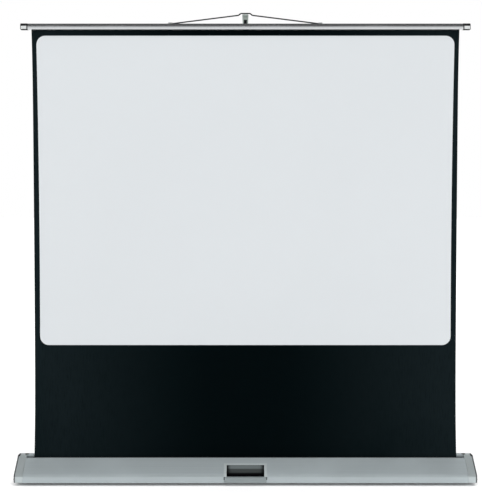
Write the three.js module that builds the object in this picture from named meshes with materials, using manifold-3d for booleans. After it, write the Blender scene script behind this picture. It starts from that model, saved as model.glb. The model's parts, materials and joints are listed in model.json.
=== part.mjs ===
// Portable floor-standing pull-up projection screen, in millimetres, +Z up.
// The viewer looks along +Y, with +X to the right. The fabric hangs in the plane y = 0 of the screen's own
// group, and that group is moved so that the origin lies on the floor, at the middle of the whole box.
import * as THREE from 'three';
import { mergeVertices } from 'three/addons/utils/BufferGeometryUtils.js';
import Module from 'manifold-3d';

const wasm = await Module();
wasm.setup();

// Fits shared by all pieces
const clearance = 0.3;
const cutOverrun = 20;
const roundSteps = 32;
const smallRoundSteps = 18;
const arcSteps = 6;

// Screen surface
const pictureWidth = 1610;
const pictureHeight = 1200;
const pictureCornerRadius = 34;
const pictureThickness = 0.3;
const sideBorder = 19;
const topBorder = 22;
const blackDrop = 438;
const sideDrawIn = 6.5;
const fabricThickness = 0.5;
const sideSteps = 12;

// Case, two aluminium extrusions that stand on rubber pads
const floorClearance = 12;
const caseWall = 2.2;
const caseMargin = 32.5;
const endCapLength = 36;
const endCapWall = 2.6;
const endCapRound = 5;
const endCapRoundSteps = 4;
const frontFaceSetback = 96;
const kneeHeight = 30.8;
const kneeRadius = 18;
const lipRadius = 1.5;
const edgeRadius = 3;
const frontLipSetback = 12;
const frontLipHeight = 82.3;
const rearLipSetback = 8;
const rearTopHeight = 88;
const rearWallSetback = 34;
const slotLipDepth = 9;
const coverWall = 2;
const coverHook = 9;
const screwBoss = 8;

// Top bar
const barMargin = 13;
const barHeight = 22.5;
const barDepth = 24;
const barWall = 1.8;
const barFlatHeight = 7;
const barTopDepth = 13;
const barCapLength = 28;
const barCapProud = 0.7;
const kederRadius = 2.6;
const kederGroove = 8;
const kederSlot = 2;

// Roller
const rollerRadius = 20;
const rollerWall = 1.2;
const rolledTurnsThickness = 1.2;
const rollerHeight = 33;
const rollerPlugLength = 24;
const rollerPinRadius = 5;
const springRadius = 11.8;
const springWire = 2.4;
const springLength = 430;
const bracketPlate = 4;
const bracketInset = 3;
const bracketWidth = 40;
const bracketTopRise = 20;

// Handle
const handleOpeningWidth = 145;
const handleOpeningReach = 54;
const handleRimSide = 11;
const handleRimTop = 9;
const handleRimThickness = 1.2;
const handlePocketWall = 2.2;
const handlePocketDepth = 40.8;
const handleShoulderRise = 13.5;
const gripWidth = 161;
const gripHeight = 24;
const gripDepth = 12;
const gripProud = 2;
const gripRound = 3;
const gripGap = 3;
const gripFlange = 8;

// Wire bail on the top bar
const wireRadius = 2.6;
const wireSides = 10;
const bailHalfSpan = 281.5;
const bailShoulderHalf = 26.6;
const bailFlatHalf = 18;
const bailRise = 38.5;
const bailShoulderDrop = 7;
const bailPinLength = 12;
const bailLift = 3;
const clipLength = 16;
const clipWall = 1.4;
const clipScrewRadius = 3.2;
const clipScrewHead = 1.6;

// Telescopic mast behind the fabric
const outerTubeRadius = 15;
const middleTubeRadius = 12.2;
const innerTubeRadius = 9.5;
const outerTubeWall = 1.6;
const middleTubeWall = 1.4;
const innerTubeWall = 1.5;
const mastPivotRise = 15;
const mastTubeStart = 20.3;
const tubeOverlap = 45;
const outerReachShare = 0.3567;
const middleReachShare = 0.6756;
const collarRadius = 17;
const collarLength = 36;
const collarGrips = 10;
const collarGripDepth = 1;
const collarOverlap = 12;
const glideLength = 26;
const knuckleHalfWidth = 14;
const knucklePlugLength = 28;
const pivotPinRadius = 4;
const pivotHeadRadius = 7.5;
const pivotHeadLength = 3.6;
const pivotNutLength = 5;
const nutSides = 6;
const cheekThickness = 4;
const cheekGap = 0.8;
const cheekRise = 15;
const bracketHalfWidth = 22;
const bracketDrop = 72;
const bracketWebDrop = 24;
const bracketScrewRadius = 4.5;
const bracketScrewHead = 2.2;
const bracketScrewSpread = 13;
const bracketScrewRise = 18;

// Mast head that carries the bail
const headHeight = 40;
const headTopWidth = 24;
const headFootWidth = 20.5;
const headWindowWidth = 12.5;
const headWindowDrop = 19.5;
const headWindowDepth = 5;
const headBackReach = 11.5;
const headSetback = 22.3;
const ledgeFront = 12.8;
const ledgeThickness = 5;
const ledgeHalfWidth = 9;

// Cradle for the folded mast
const cradleInset = 122;
const cradleLength = 30;
const cradleWall = 3.5;
const cradleFootHeight = 40;

// Feet and pads
const padWidth = 24;
const padRound = 6;
const padInset = 40.5;
const padFrontSetback = 50;
const padRearSetback = 5;
const footLength = 400;
const footWidth = 28;
const footThickness = 7;
const footGap = 0.5;
const footInset = 256.5;
const soleInset = 2;
const footPivotRadius = 4;
const footScrewHeadRadius = 8;
const footScrewHeadLength = 2.6;

// Small fasteners and trims
const capScrewRadius = 4;
const capScrewHead = 1.6;
const feltThickness = 1.5;
const feltHeight = 8;
const feltEndGap = 20;
const bumperHeight = 1.6;
const bumperWidth = 12;
const bumperLength = 14;

// Heights and places that follow from the sizes above
const caseBottom = floorClearance;
const knee = caseBottom + kneeHeight;
const frontLipTop = caseBottom + frontLipHeight;
const rearTop = caseBottom + rearTopHeight;
const slopeRun = frontFaceSetback - frontLipSetback;
const slopeRise = frontLipTop - knee;
const slopeLength = Math.hypot(slopeRun, slopeRise);
const slopeCos = slopeRun / slopeLength;
const slopeSin = slopeRise / slopeLength;
const kneeTangent = kneeRadius * (1 - slopeSin) / slopeCos;
const fabricWidth = pictureWidth + 2 * sideBorder;
const extrusionLength = fabricWidth + 2 * caseMargin;
const caseLength = extrusionLength + 2 * endCapLength;
const padPlace = caseLength / 2 - padInset;
const footPlace = extrusionLength / 2 - footInset;
const barBodyLength = fabricWidth + 2 * barMargin;
const barLength = barBodyLength + 2 * barCapLength;
const slotLevel = frontLipTop;
const pictureBottom = slotLevel + blackDrop;
const pictureTop = pictureBottom + pictureHeight;
const barBottom = pictureTop + topBorder;
const barTop = barBottom + barHeight;
const rollRadius = rollerRadius + rolledTurnsThickness;
const rollerSetback = -(fabricThickness / 2 + clearance + rollRadius);
const rollerAxisHeight = caseBottom + rollerHeight;
const bailAxisHeight = barTop + bailLift;
const bailTop = bailAxisHeight + bailRise;
const clipRadius = wireRadius + clearance + clipWall;
const bailSetback = barDepth / 2 + clearance + clipRadius;
const mastSetback = rearWallSetback + clearance + cheekThickness + cheekGap + outerTubeRadius;
const mastPivotHeight = rearTop + mastPivotRise;
const rearCheekInner = mastSetback + outerTubeRadius + cheekGap;
const rearCheekOuter = rearCheekInner + cheekThickness;
const headTop = bailTop - wireRadius - clearance;
const headFoot = headTop - headHeight;
const mastReach = headFoot - mastPivotHeight;
const outerTubeEnd = mastReach * outerReachShare;
const middleTubeStart = outerTubeEnd - tubeOverlap;
const middleTubeEnd = mastReach * middleReachShare;
const innerTubeStart = middleTubeEnd - tubeOverlap;
const cradlePlace = outerTubeEnd - cradleInset;
const frontMost = -frontFaceSetback - gripProud;
const rearMost = rearCheekOuter + clearance + pivotNutLength;

const axisX = new THREE.Vector3(1, 0, 0);
const axisY = new THREE.Vector3(0, 1, 0);
const axisZ = new THREE.Vector3(0, 0, 1);
const alongX = new THREE.Matrix4().makeBasis(axisY, axisZ, axisX);
const alongY = new THREE.Matrix4().makeBasis(axisX, axisZ, new THREE.Vector3(0, -1, 0));
const latheAlongX = new THREE.Matrix4().makeBasis(axisY, axisX, new THREE.Vector3(0, 0, -1));
const latheAlongY = new THREE.Matrix4().makeBasis(axisZ, axisY, new THREE.Vector3(-1, 0, 0));
const latheAlongZ = new THREE.Matrix4().makeBasis(axisX, axisZ, new THREE.Vector3(0, -1, 0));

// Finishes

function finish(color, roughness, metalness) {
  return () => new THREE.MeshStandardMaterial({ color, roughness, metalness });
}

const anodised = finish(0xb4b9bd, 0.42, 0.8);
const anodisedDark = finish(0x9a9fa3, 0.45, 0.8);
const greyPlastic = finish(0xb2b6b8, 0.5, 0);
const blackPlastic = finish(0x1c1d1f, 0.55, 0);
const blackRubber = finish(0x141414, 0.8, 0);
const blackCloth = finish(0x0a1012, 0.85, 0);
const whiteSurface = finish(0xe6e9ec, 0.75, 0);
const steel = finish(0xa9adb0, 0.35, 0.95);
const blackPaint = finish(0x17181a, 0.5, 0.3);
const headPlastic = finish(0xb9c2bd, 0.5, 0);
const darkFelt = finish(0x222224, 0.95, 0);

// Shape helpers

function shapeOf(points) {
  return new THREE.Shape(points.map(([across, up]) => new THREE.Vector2(across, up)));
}

// The corners [across, up, radius] joined by straight lines, each corner with a radius turned into an arc
function roundedShape(corners) {
  const points = [];
  corners.forEach(([across, up, radius = 0], index) => {
    const corner = new THREE.Vector2(across, up);
    if (radius === 0) {
      points.push(corner);
      return;
    }
    const [beforeAcross, beforeUp] = corners[(index + corners.length - 1) % corners.length];
    const [afterAcross, afterUp] = corners[(index + 1) % corners.length];
    const back = new THREE.Vector2(beforeAcross, beforeUp).sub(corner).normalize();
    const ahead = new THREE.Vector2(afterAcross, afterUp).sub(corner).normalize();
    const halfAngle = Math.acos(THREE.MathUtils.clamp(back.dot(ahead), -1, 1)) / 2;
    const middle = back.clone().add(ahead).normalize();
    const centre = corner.clone().addScaledVector(middle, radius / Math.sin(halfAngle));
    const first = corner.clone().addScaledVector(back, radius / Math.tan(halfAngle)).sub(centre);
    const turn = Math.sign(ahead.cross(back)) * (Math.PI - 2 * halfAngle);
    for (let step = 0; step <= arcSteps; step += 1) {
      points.push(first.clone().rotateAround(new THREE.Vector2(), turn * step / arcSteps).add(centre));
    }
  });
  return new THREE.Shape(points);
}

function roundedRectangle(width, height, radius) {
  const across = width / 2;
  const up = height / 2;
  return roundedShape([
    [-across, -up, radius],
    [across, -up, radius],
    [across, up, radius],
    [-across, up, radius],
  ]);
}

function extrude(shape, depth, curveSegments = arcSteps) {
  return new THREE.ExtrudeGeometry(shape, { depth, bevelEnabled: false, curveSegments });
}

// A section in (y, z) drawn out along X, centred on x = 0
function extrudeAlongX(shape, length, curveSegments) {
  const geometry = extrude(shape, length, curveSegments);
  geometry.applyMatrix4(alongX);
  geometry.translate(-length / 2, 0, 0);
  return geometry;
}

// An outline in (x, z) drawn out along Y, from front to back
function extrudeAlongY(shape, front, back, curveSegments) {
  const geometry = extrude(shape, back - front, curveSegments);
  geometry.applyMatrix4(alongY);
  geometry.translate(0, back, 0);
  return geometry;
}

function lathe(profile, steps = roundSteps) {
  const points = profile.map(([radius, along]) => new THREE.Vector2(radius, along));
  return new THREE.LatheGeometry(points, steps);
}

function rodProfile(radius, start, end) {
  return [[0, start], [radius, start], [radius, end], [0, end]];
}

function tubeProfile(inner, outer, start, end) {
  return [[inner, start], [outer, start], [outer, end], [inner, end], [inner, start]];
}

function turnedX(profile, steps) {
  return lathe(profile, steps).applyMatrix4(latheAlongX);
}

function turnedY(profile, steps) {
  return lathe(profile, steps).applyMatrix4(latheAlongY);
}

function turnedZ(profile, steps) {
  return lathe(profile, steps).applyMatrix4(latheAlongZ);
}

function block(low, high) {
  const size = high.map((value, index) => value - low[index]);
  const geometry = new THREE.BoxGeometry(size[0], size[1], size[2]);
  geometry.translate(...low.map((value, index) => value + size[index] / 2));
  return geometry;
}

function solidOf(geometry) {
  const bare = geometry.clone();
  bare.deleteAttribute('normal');
  bare.deleteAttribute('uv');
  const merged = mergeVertices(bare);
  const vertProperties = new Float32Array(merged.attributes.position.array);
  const triVerts = new Uint32Array(merged.index.array);
  return new wasm.Manifold(new wasm.Mesh({ numProp: 3, vertProperties, triVerts }));
}

function geometryOf(solid) {
  const mesh = solid.getMesh();
  const geometry = new THREE.BufferGeometry();
  geometry.setAttribute('position', new THREE.BufferAttribute(new Float32Array(mesh.vertProperties), 3));
  geometry.setIndex(new THREE.BufferAttribute(new Uint32Array(mesh.triVerts), 1));
  geometry.computeVertexNormals();
  return geometry;
}

function cut(geometry, ...tools) {
  return geometryOf(tools.reduce((solid, tool) => solid.subtract(solidOf(tool)), solidOf(geometry)));
}

function join(geometry, ...others) {
  return geometryOf(others.reduce((solid, other) => solid.add(solidOf(other)), solidOf(geometry)));
}

const screen = new THREE.Group();
screen.position.y = -(frontMost + rearMost) / 2;

function place(name, geometry, material, position = [0, 0, 0]) {
  const mesh = new THREE.Mesh(geometry, material());
  mesh.name = name;
  mesh.position.set(...position);
  screen.add(mesh);
}

// A point on the sloped front face: distance up the slope from the knee, and distance out of the face
function onSlope(along, out) {
  return [
    -frontFaceSetback + along * slopeCos - out * slopeSin,
    knee + along * slopeSin + out * slopeCos,
  ];
}

// The corner where the front face and the slope would meet, both moved out by the same distance
function kneeCorner(out) {
  return [-frontFaceSetback - out, knee + out * (1 - slopeSin) / slopeCos];
}

// Case shells

function caseBodySection() {
  const inner = caseBottom + caseWall;
  const rearInner = rearWallSetback - caseWall;
  const topInner = rearTop - caseWall;
  const upstandFront = -frontFaceSetback + coverWall + clearance;
  return roundedShape([
    [upstandFront, caseBottom],
    [rearWallSetback, caseBottom, edgeRadius],
    [rearWallSetback, rearTop, edgeRadius],
    [rearLipSetback, rearTop, lipRadius],
    [rearLipSetback, rearTop - slotLipDepth],
    [rearLipSetback + caseWall, rearTop - slotLipDepth],
    [rearLipSetback + caseWall, topInner],
    [rearInner - screwBoss, topInner],
    [rearInner - screwBoss, topInner - screwBoss],
    [rearInner, topInner - screwBoss],
    [rearInner, inner + screwBoss],
    [rearInner - screwBoss, inner + screwBoss],
    [rearInner - screwBoss, inner],
    [upstandFront + caseWall, inner],
    [upstandFront + caseWall, inner + coverHook],
    [upstandFront, inner + coverHook],
  ]);
}

function frontCoverSection() {
  const lipInnerDrop = coverWall / slopeCos + coverWall * slopeSin / slopeCos;
  return roundedShape([
    [-frontFaceSetback, caseBottom, lipRadius],
    [-frontFaceSetback + coverWall, caseBottom],
    [...kneeCorner(-coverWall), kneeRadius - coverWall],
    [-frontLipSetback - coverWall, frontLipTop - lipInnerDrop],
    [-frontLipSetback - coverWall, frontLipTop - slotLipDepth],
    [-frontLipSetback, frontLipTop - slotLipDepth],
    [-frontLipSetback, frontLipTop, lipRadius],
    [-frontFaceSetback, knee, kneeRadius],
  ]);
}

// The finger opening in (y, z), from the grip's top edge up the slope, grown at its upper end
function openingSection(grow) {
  const low = caseBottom + gripHeight;
  return shapeOf([
    [-frontFaceSetback - cutOverrun, low],
    [-frontFaceSetback + cutOverrun, low],
    onSlope(handleOpeningReach + grow, -cutOverrun),
    onSlope(handleOpeningReach + grow, cutOverrun),
    [-frontFaceSetback - cutOverrun, knee + cutOverrun],
  ]);
}

function buildCaseShells() {
  place('case_body', extrudeAlongX(caseBodySection(), extrusionLength), anodised);
  const cover = extrudeAlongX(frontCoverSection(), extrusionLength);
  const wellWidth = handleOpeningWidth + 2 * handlePocketWall + 2 * clearance;
  const well = extrudeAlongX(openingSection(handlePocketWall + clearance), wellWidth);
  const gripBay = block(
    [-gripWidth / 2 - gripGap, -frontFaceSetback - cutOverrun, caseBottom - cutOverrun],
    [gripWidth / 2 + gripGap, -frontFaceSetback + cutOverrun, caseBottom + gripHeight + clearance],
  );
  place('front_cover', cut(cover, well, gripBay), anodised);
}

// End caps close the extrusions, and bumpers on the rear top stop the lowered bar

function endCapSection(inset) {
  const crest = (rearTop - knee) * slopeCos / slopeSin - frontFaceSetback;
  const crestInset = inset * (1 - slopeCos) / slopeSin;
  return roundedShape([
    [-frontFaceSetback + inset, caseBottom + inset],
    [rearWallSetback - inset, caseBottom + inset],
    [rearWallSetback - inset, rearTop - inset],
    [crest + crestInset, rearTop - inset],
    [...kneeCorner(-inset), kneeRadius - inset],
  ]);
}

function endCapGeometry(side) {
  const rounded = new THREE.ExtrudeGeometry(endCapSection(0), {
    depth: 2 * endCapLength - 2 * endCapRound,
    bevelThickness: endCapRound,
    bevelSize: endCapRound,
    bevelOffset: -endCapRound,
    bevelSegments: endCapRoundSteps,
  });
  rounded.applyMatrix4(alongX);
  rounded.translate(endCapRound - endCapLength, 0, 0);
  const reach = endCapLength + cutOverrun;
  const innerHalf = block(
    [side > 0 ? -reach : 0, -frontFaceSetback - cutOverrun, -cutOverrun],
    [side > 0 ? 0 : reach, rearWallSetback + cutOverrun, rearTop + cutOverrun],
  );
  const hollow = extrudeAlongX(endCapSection(endCapWall), 2 * (endCapLength - endCapWall - endCapRound));
  return cut(rounded, innerHalf, hollow);
}

function capScrewPlaces() {
  const edge = endCapWall + endCapRound + capScrewRadius;
  return [
    ['upper', rearWallSetback - edge, rearTop - edge],
    ['lower', -frontFaceSetback + edge, caseBottom + edge],
  ];
}

function buildEndCaps() {
  for (const [side, label] of [[-1, 'left'], [1, 'right']]) {
    const start = side * (extrusionLength / 2);
    place(`end_cap_${label}`, endCapGeometry(side), greyPlastic, [start, 0, 0]);
    const face = caseLength / 2 + clearance;
    for (const [level, across, up] of capScrewPlaces()) {
      const low = side > 0 ? face : -face - capScrewHead;
      const head = turnedX(rodProfile(capScrewRadius, low, low + capScrewHead), smallRoundSteps);
      place(`end_cap_screw_${level}_${label}`, head, steel, [0, across, up]);
    }
    const bumper = block(
      [-bumperLength / 2, -bumperWidth / 2, 0],
      [bumperLength / 2, bumperWidth / 2, bumperHeight],
    );
    const bumperPlace = side * (barLength / 2 - bumperLength / 2);
    const bumperBack = rearLipSetback + caseWall + bumperWidth / 2;
    place(`bar_bumper_${label}`, bumper, blackRubber, [bumperPlace, bumperBack, rearTop]);
  }
}

// Felt strips brush the fabric where it leaves the slot

function buildFelt() {
  const length = extrusionLength - 2 * (bracketInset + bracketPlate + feltEndGap);
  const frontFelt = block(
    [-length / 2, -frontLipSetback, frontLipTop - slotLipDepth],
    [length / 2, -frontLipSetback + feltThickness, frontLipTop - slotLipDepth + feltHeight],
  );
  const rearFelt = block(
    [-length / 2, rearLipSetback - feltThickness, rearTop - slotLipDepth],
    [length / 2, rearLipSetback, rearTop - slotLipDepth + feltHeight],
  );
  place('slot_felt_front', frontFelt, darkFelt);
  place('slot_felt_rear', rearFelt, darkFelt);
}

// Handle let into the front face

function handleHousingGeometry() {
  const back = -frontFaceSetback + handlePocketDepth;
  const front = -frontFaceSetback + coverWall + clearance;
  const floor = caseBottom + caseWall + clearance;
  const slopeAt = (setback) => knee + (setback + frontFaceSetback) * slopeSin / slopeCos;
  const topSetback = onSlope(handleOpeningReach + handlePocketWall, 0)[0];
  const cavityTop = onSlope(handleOpeningReach, 0)[0];
  const shoulder = slopeAt(back) - handleShoulderRise;
  const outer = extrudeAlongX(shapeOf([
    [front + caseWall + clearance, floor],
    [back + handlePocketWall, floor],
    [back + handlePocketWall, shoulder],
    [topSetback, slopeAt(topSetback) - handlePocketWall * 2],
    [topSetback, slopeAt(topSetback) - clearance],
    onSlope(kneeTangent, -clearance),
    [front + caseWall + clearance, knee],
  ]), handleOpeningWidth + 2 * handlePocketWall);
  const flangeHalf = gripWidth / 2 + gripGap + gripFlange;
  const flange = block(
    [-flangeHalf, front + 2 * clearance, caseBottom + caseWall + coverHook + clearance],
    [flangeHalf, front + handlePocketWall + caseWall, caseBottom + gripHeight + clearance],
  );
  const cavity = extrudeAlongX(shapeOf([
    [front - cutOverrun, floor + handlePocketWall + coverHook],
    [back, floor + handlePocketWall + coverHook],
    [back, shoulder + handlePocketWall],
    [cavityTop, slopeAt(cavityTop) - handlePocketWall * 2],
    [cavityTop, rearTop + cutOverrun],
    [front - cutOverrun, rearTop + cutOverrun],
  ]), handleOpeningWidth);
  return cut(join(outer, flange), cavity);
}

function handleRimGeometry() {
  const low = caseBottom + gripHeight + clearance;
  const width = handleOpeningWidth + 2 * handleRimSide;
  const end = handleOpeningReach + handleRimTop;
  const seat = clearance;
  const face = clearance + handleRimThickness;
  const plate = extrudeAlongX(roundedShape([
    [-frontFaceSetback - seat, caseBottom],
    [...kneeCorner(seat), kneeRadius + seat],
    onSlope(end, seat),
    onSlope(end, face),
    [...kneeCorner(face), kneeRadius + face],
    [-frontFaceSetback - face, caseBottom],
  ]), width);
  const gripSpace = block([-width, -frontFaceSetback - cutOverrun, -cutOverrun], [width, cutOverrun, low]);
  return cut(plate, gripSpace, extrudeAlongX(openingSection(0), handleOpeningWidth));
}

function buildHandle() {
  place('handle_housing', handleHousingGeometry(), blackPlastic);
  place('handle_rim', handleRimGeometry(), anodisedDark);
  const grip = extrudeAlongX(roundedRectangle(gripDepth, gripHeight, gripRound), gripWidth);
  grip.translate(0, -frontFaceSetback - gripProud + gripDepth / 2, caseBottom + gripHeight / 2);
  // Behind the cover the grip is thick only over the housing floor and between the opening's sides
  const rear = -frontFaceSetback + coverWall;
  const above = caseBottom + gripHeight + cutOverrun;
  const floorTop = caseBottom + caseWall + coverHook + handlePocketWall + 2 * clearance;
  const openingEdge = handleOpeningWidth / 2 - clearance;
  const overFloor = block([-gripWidth, rear, -cutOverrun], [gripWidth, cutOverrun, floorTop]);
  const leftEnd = block([-gripWidth, rear, -cutOverrun], [-openingEdge, cutOverrun, above]);
  const rightEnd = block([openingEdge, rear, -cutOverrun], [gripWidth, cutOverrun, above]);
  place('handle_grip', cut(grip, overFloor, leftEnd, rightEnd), anodisedDark);
}

// Roller with the wound turns of fabric, carried by two bracket plates inside the case

function buildRoller() {
  const bracketFace = extrusionLength / 2 - bracketInset;
  const rollerEnd = bracketFace - bracketPlate - clearance;
  const axis = [0, rollerSetback, rollerAxisHeight];
  const tube = tubeProfile(rollerRadius - rollerWall, rollerRadius, -rollerEnd, rollerEnd);
  place('roller_tube', turnedX(tube), anodised, axis);
  const rollEnd = fabricWidth / 2;
  const rollProfile = tubeProfile(rollerRadius + clearance / 3, rollRadius, -rollEnd, rollEnd);
  place('fabric_roll', turnedX(rollProfile), blackCloth, axis);
  const plugRadius = rollerRadius - rollerWall - clearance;
  const pinTip = bracketFace - clearance;
  for (const [side, label] of [[-1, 'idler_plug'], [1, 'spring_plug']]) {
    const profile = [
      [0, rollerEnd - rollerPlugLength],
      [plugRadius, rollerEnd - rollerPlugLength],
      [plugRadius, rollerEnd - clearance],
      [rollerPinRadius, rollerEnd - clearance],
      [rollerPinRadius, pinTip],
      [0, pinTip],
    ];
    const sided = side > 0 ? profile : profile.map(([radius, along]) => [radius, -along]).reverse();
    place(label, turnedX(sided), blackPlastic, axis);
    const low = side > 0 ? bracketFace - bracketPlate : -bracketFace;
    const plate = block(
      [low, rollerSetback - bracketWidth / 2, caseBottom + caseWall],
      [low + bracketPlate, rollerSetback + bracketWidth / 2, rollerAxisHeight + bracketTopRise],
    );
    const hole = turnedX(rodProfile(rollerPinRadius + clearance, -bracketPlate, 2 * bracketPlate));
    hole.translate(low, rollerSetback, rollerAxisHeight);
    place(`roller_bracket_${side > 0 ? 'right' : 'left'}`, cut(plate, hole), steel);
  }
  const springEnd = rollerEnd - rollerPlugLength - clearance;
  const springStart = springEnd - springLength;
  const springProfile = tubeProfile(springRadius - springWire, springRadius, springStart, springEnd);
  place('roller_spring', turnedX(springProfile), steel, axis);
  const shaftProfile = rodProfile(rollerPinRadius, springStart, springEnd);
  place('spring_shaft', turnedX(shaftProfile), steel, axis);
}

// Black carrier fabric with drawn-in sides, and the white picture surface on its front

// Half the width at a height: the sides draw in towards the middle of the free height
function halfWidthAt(halfWidth, height) {
  const heightShare = Math.max(0, (height - slotLevel) / (barBottom - slotLevel));
  return halfWidth - sideDrawIn * 4 * heightShare * (1 - heightShare);
}

function sidePoints(halfWidth, low, high) {
  const points = [];
  for (let step = 0; step <= sideSteps; step += 1) {
    const height = low + (high - low) * step / sideSteps;
    points.push([halfWidthAt(halfWidth, height), height]);
  }
  return points;
}

function fabricOutline() {
  const half = fabricWidth / 2;
  const right = sidePoints(half, slotLevel, barBottom - clearance);
  const left = right.map(([across, up]) => [-across, up]).reverse();
  return shapeOf([[half, rollerAxisHeight], ...right, ...left, [-half, rollerAxisHeight]]);
}

function pictureOutline() {
  const radius = pictureCornerRadius;
  const right = sidePoints(pictureWidth / 2, pictureBottom + radius, pictureTop - radius);
  const topRight = right[right.length - 1][0];
  const lowRight = right[0][0];
  const corner = (across, up, start) => {
    const points = [];
    for (let step = 1; step < arcSteps; step += 1) {
      const angle = start + Math.PI / 2 * step / arcSteps;
      points.push([across + radius * Math.cos(angle), up + radius * Math.sin(angle)]);
    }
    return points;
  };
  const upper = [
    ...corner(topRight - radius, pictureTop - radius, 0),
    [topRight - radius, pictureTop],
    [radius - topRight, pictureTop],
    ...corner(radius - topRight, pictureTop - radius, Math.PI / 2),
  ];
  const left = right.map(([across, up]) => [-across, up]).reverse();
  const lower = [
    ...corner(radius - lowRight, pictureBottom + radius, Math.PI),
    [radius - lowRight, pictureBottom],
    [lowRight - radius, pictureBottom],
    ...corner(lowRight - radius, pictureBottom + radius, Math.PI * 3 / 2),
  ];
  return shapeOf([...right, ...upper, ...left, ...lower]);
}

function buildFabric() {
  const front = -fabricThickness / 2;
  place('screen_fabric', extrudeAlongY(fabricOutline(), front, -front), blackCloth);
  place('picture_surface', extrudeAlongY(pictureOutline(), front - pictureThickness, front), whiteSurface);
}

// Top bar, its end caps and the rod that holds the fabric in the groove

function barSection(proud) {
  const half = barDepth / 2 + proud;
  const topHalf = barTopDepth / 2 + proud;
  const shape = new THREE.Shape();
  const bottom = barBottom - proud;
  const top = barTop + proud;
  const flat = barBottom + barFlatHeight;
  shape.moveTo(-half, bottom);
  shape.lineTo(half, bottom);
  shape.lineTo(half, flat);
  shape.quadraticCurveTo(half, top, topHalf, top);
  shape.lineTo(-topHalf, top);
  shape.quadraticCurveTo(-half, top, -half, flat);
  return shape;
}

function buildTopBar() {
  const body = extrudeAlongX(barSection(0), barBodyLength);
  const groove = block(
    [-barBodyLength, -kederGroove / 2, barBottom + barWall],
    [barBodyLength, kederGroove / 2, barBottom + barWall + kederGroove],
  );
  const slot = block(
    [-barBodyLength, -kederSlot / 2, barBottom - cutOverrun],
    [barBodyLength, kederSlot / 2, barBottom + barWall + kederGroove / 2],
  );
  place('top_bar', cut(body, groove, slot), anodised);
  const rodHeight = barBottom + barWall + kederRadius + clearance;
  const rod = rodProfile(kederRadius, clearance - fabricWidth / 2, fabricWidth / 2 - clearance);
  place('fabric_keder_rod', turnedX(rod, smallRoundSteps), blackPlastic, [0, 0, rodHeight]);
  for (const [side, label] of [[-1, 'left'], [1, 'right']]) {
    const cap = extrudeAlongX(barSection(barCapProud), barCapLength);
    const capPlace = (barBodyLength + barCapLength) / 2 + clearance;
    place(`top_bar_cap_${label}`, cap, greyPlastic, [side * capPlace, 0, 0]);
  }
}

// Wire bail that hangs the bar on the mast head, and the two clips it turns in

function buildBail() {
  const shoulderHeight = bailRise - bailShoulderDrop;
  const half = [
    [bailFlatHalf, bailRise],
    [bailShoulderHalf, shoulderHeight],
    [bailHalfSpan, 0],
    [bailHalfSpan + bailPinLength, 0],
  ];
  const route = [...half.map(([across, up]) => [-across, up]).reverse(), ...half];
  const points = route.map(([across, up]) => new THREE.Vector3(across, 0, up));
  place('wire_bail', wireGeometry(points), steel, [0, bailSetback, bailAxisHeight]);
  const rearFace = barDepth / 2 + clearance;
  for (const [side, label] of [[-1, 'left'], [1, 'right']]) {
    const curl = turnedX(rodProfile(clipRadius, -clipLength / 2, clipLength / 2), smallRoundSteps);
    curl.translate(0, bailSetback, bailAxisHeight);
    const leaf = block(
      [-clipLength / 2, rearFace, barBottom + barWall],
      [clipLength / 2, rearFace + clipWall, bailAxisHeight],
    );
    const bore = turnedX(rodProfile(wireRadius + clearance, -clipLength, clipLength), smallRoundSteps);
    bore.translate(0, bailSetback, bailAxisHeight);
    const clipPlace = side * (bailHalfSpan + clipLength / 2);
    place(`bail_clip_${label}`, cut(join(curl, leaf), bore), steel, [clipPlace, 0, 0]);
    const screwHeight = barBottom + barFlatHeight;
    const screw = turnedY(rodProfile(clipScrewRadius, 0, clipScrewHead), smallRoundSteps);
    place(`bail_clip_screw_${label}`, screw, steel, [clipPlace, rearFace + clipWall, screwHeight]);
  }
}

// A round wire through points in a plane of constant y, mitred at each corner
function wireGeometry(points) {
  const positions = [];
  const faces = [];
  const last = points.length - 1;
  points.forEach((point, index) => {
    const start = Math.max(index - 1, 0);
    const end = Math.min(index + 1, last);
    const into = points[Math.max(index, 1)].clone().sub(points[Math.max(start, 0)]).normalize();
    const out = points[end].clone().sub(points[Math.min(index, last - 1)]).normalize();
    const tangent = into.add(out).normalize();
    const stretch = 1 / tangent.dot(out);
    const normal = new THREE.Vector3().crossVectors(axisY, tangent).normalize();
    for (let side = 0; side < wireSides; side += 1) {
      const angle = 2 * Math.PI * side / wireSides;
      const ringPoint = point.clone();
      ringPoint.addScaledVector(normal, wireRadius * stretch * Math.cos(angle));
      ringPoint.addScaledVector(axisY, wireRadius * Math.sin(angle));
      positions.push(ringPoint.x, ringPoint.y, ringPoint.z);
    }
  });
  for (let ring = 0; ring < last; ring += 1) {
    for (let side = 0; side < wireSides; side += 1) {
      const next = (side + 1) % wireSides;
      const low = ring * wireSides;
      const high = low + wireSides;
      faces.push(low + side, high + next, high + side);
      faces.push(low + side, low + next, high + next);
    }
  }
  const lastRing = last * wireSides;
  for (let side = 1; side < wireSides - 1; side += 1) {
    faces.push(0, side + 1, side);
    faces.push(lastRing, lastRing + side, lastRing + side + 1);
  }
  const geometry = new THREE.BufferGeometry();
  geometry.setAttribute('position', new THREE.BufferAttribute(new Float32Array(positions), 3));
  geometry.setIndex(faces);
  geometry.computeVertexNormals();
  return geometry;
}

// Mast: bracket on the rear wall, knuckle, three tubes, two twist collars and the head

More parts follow.
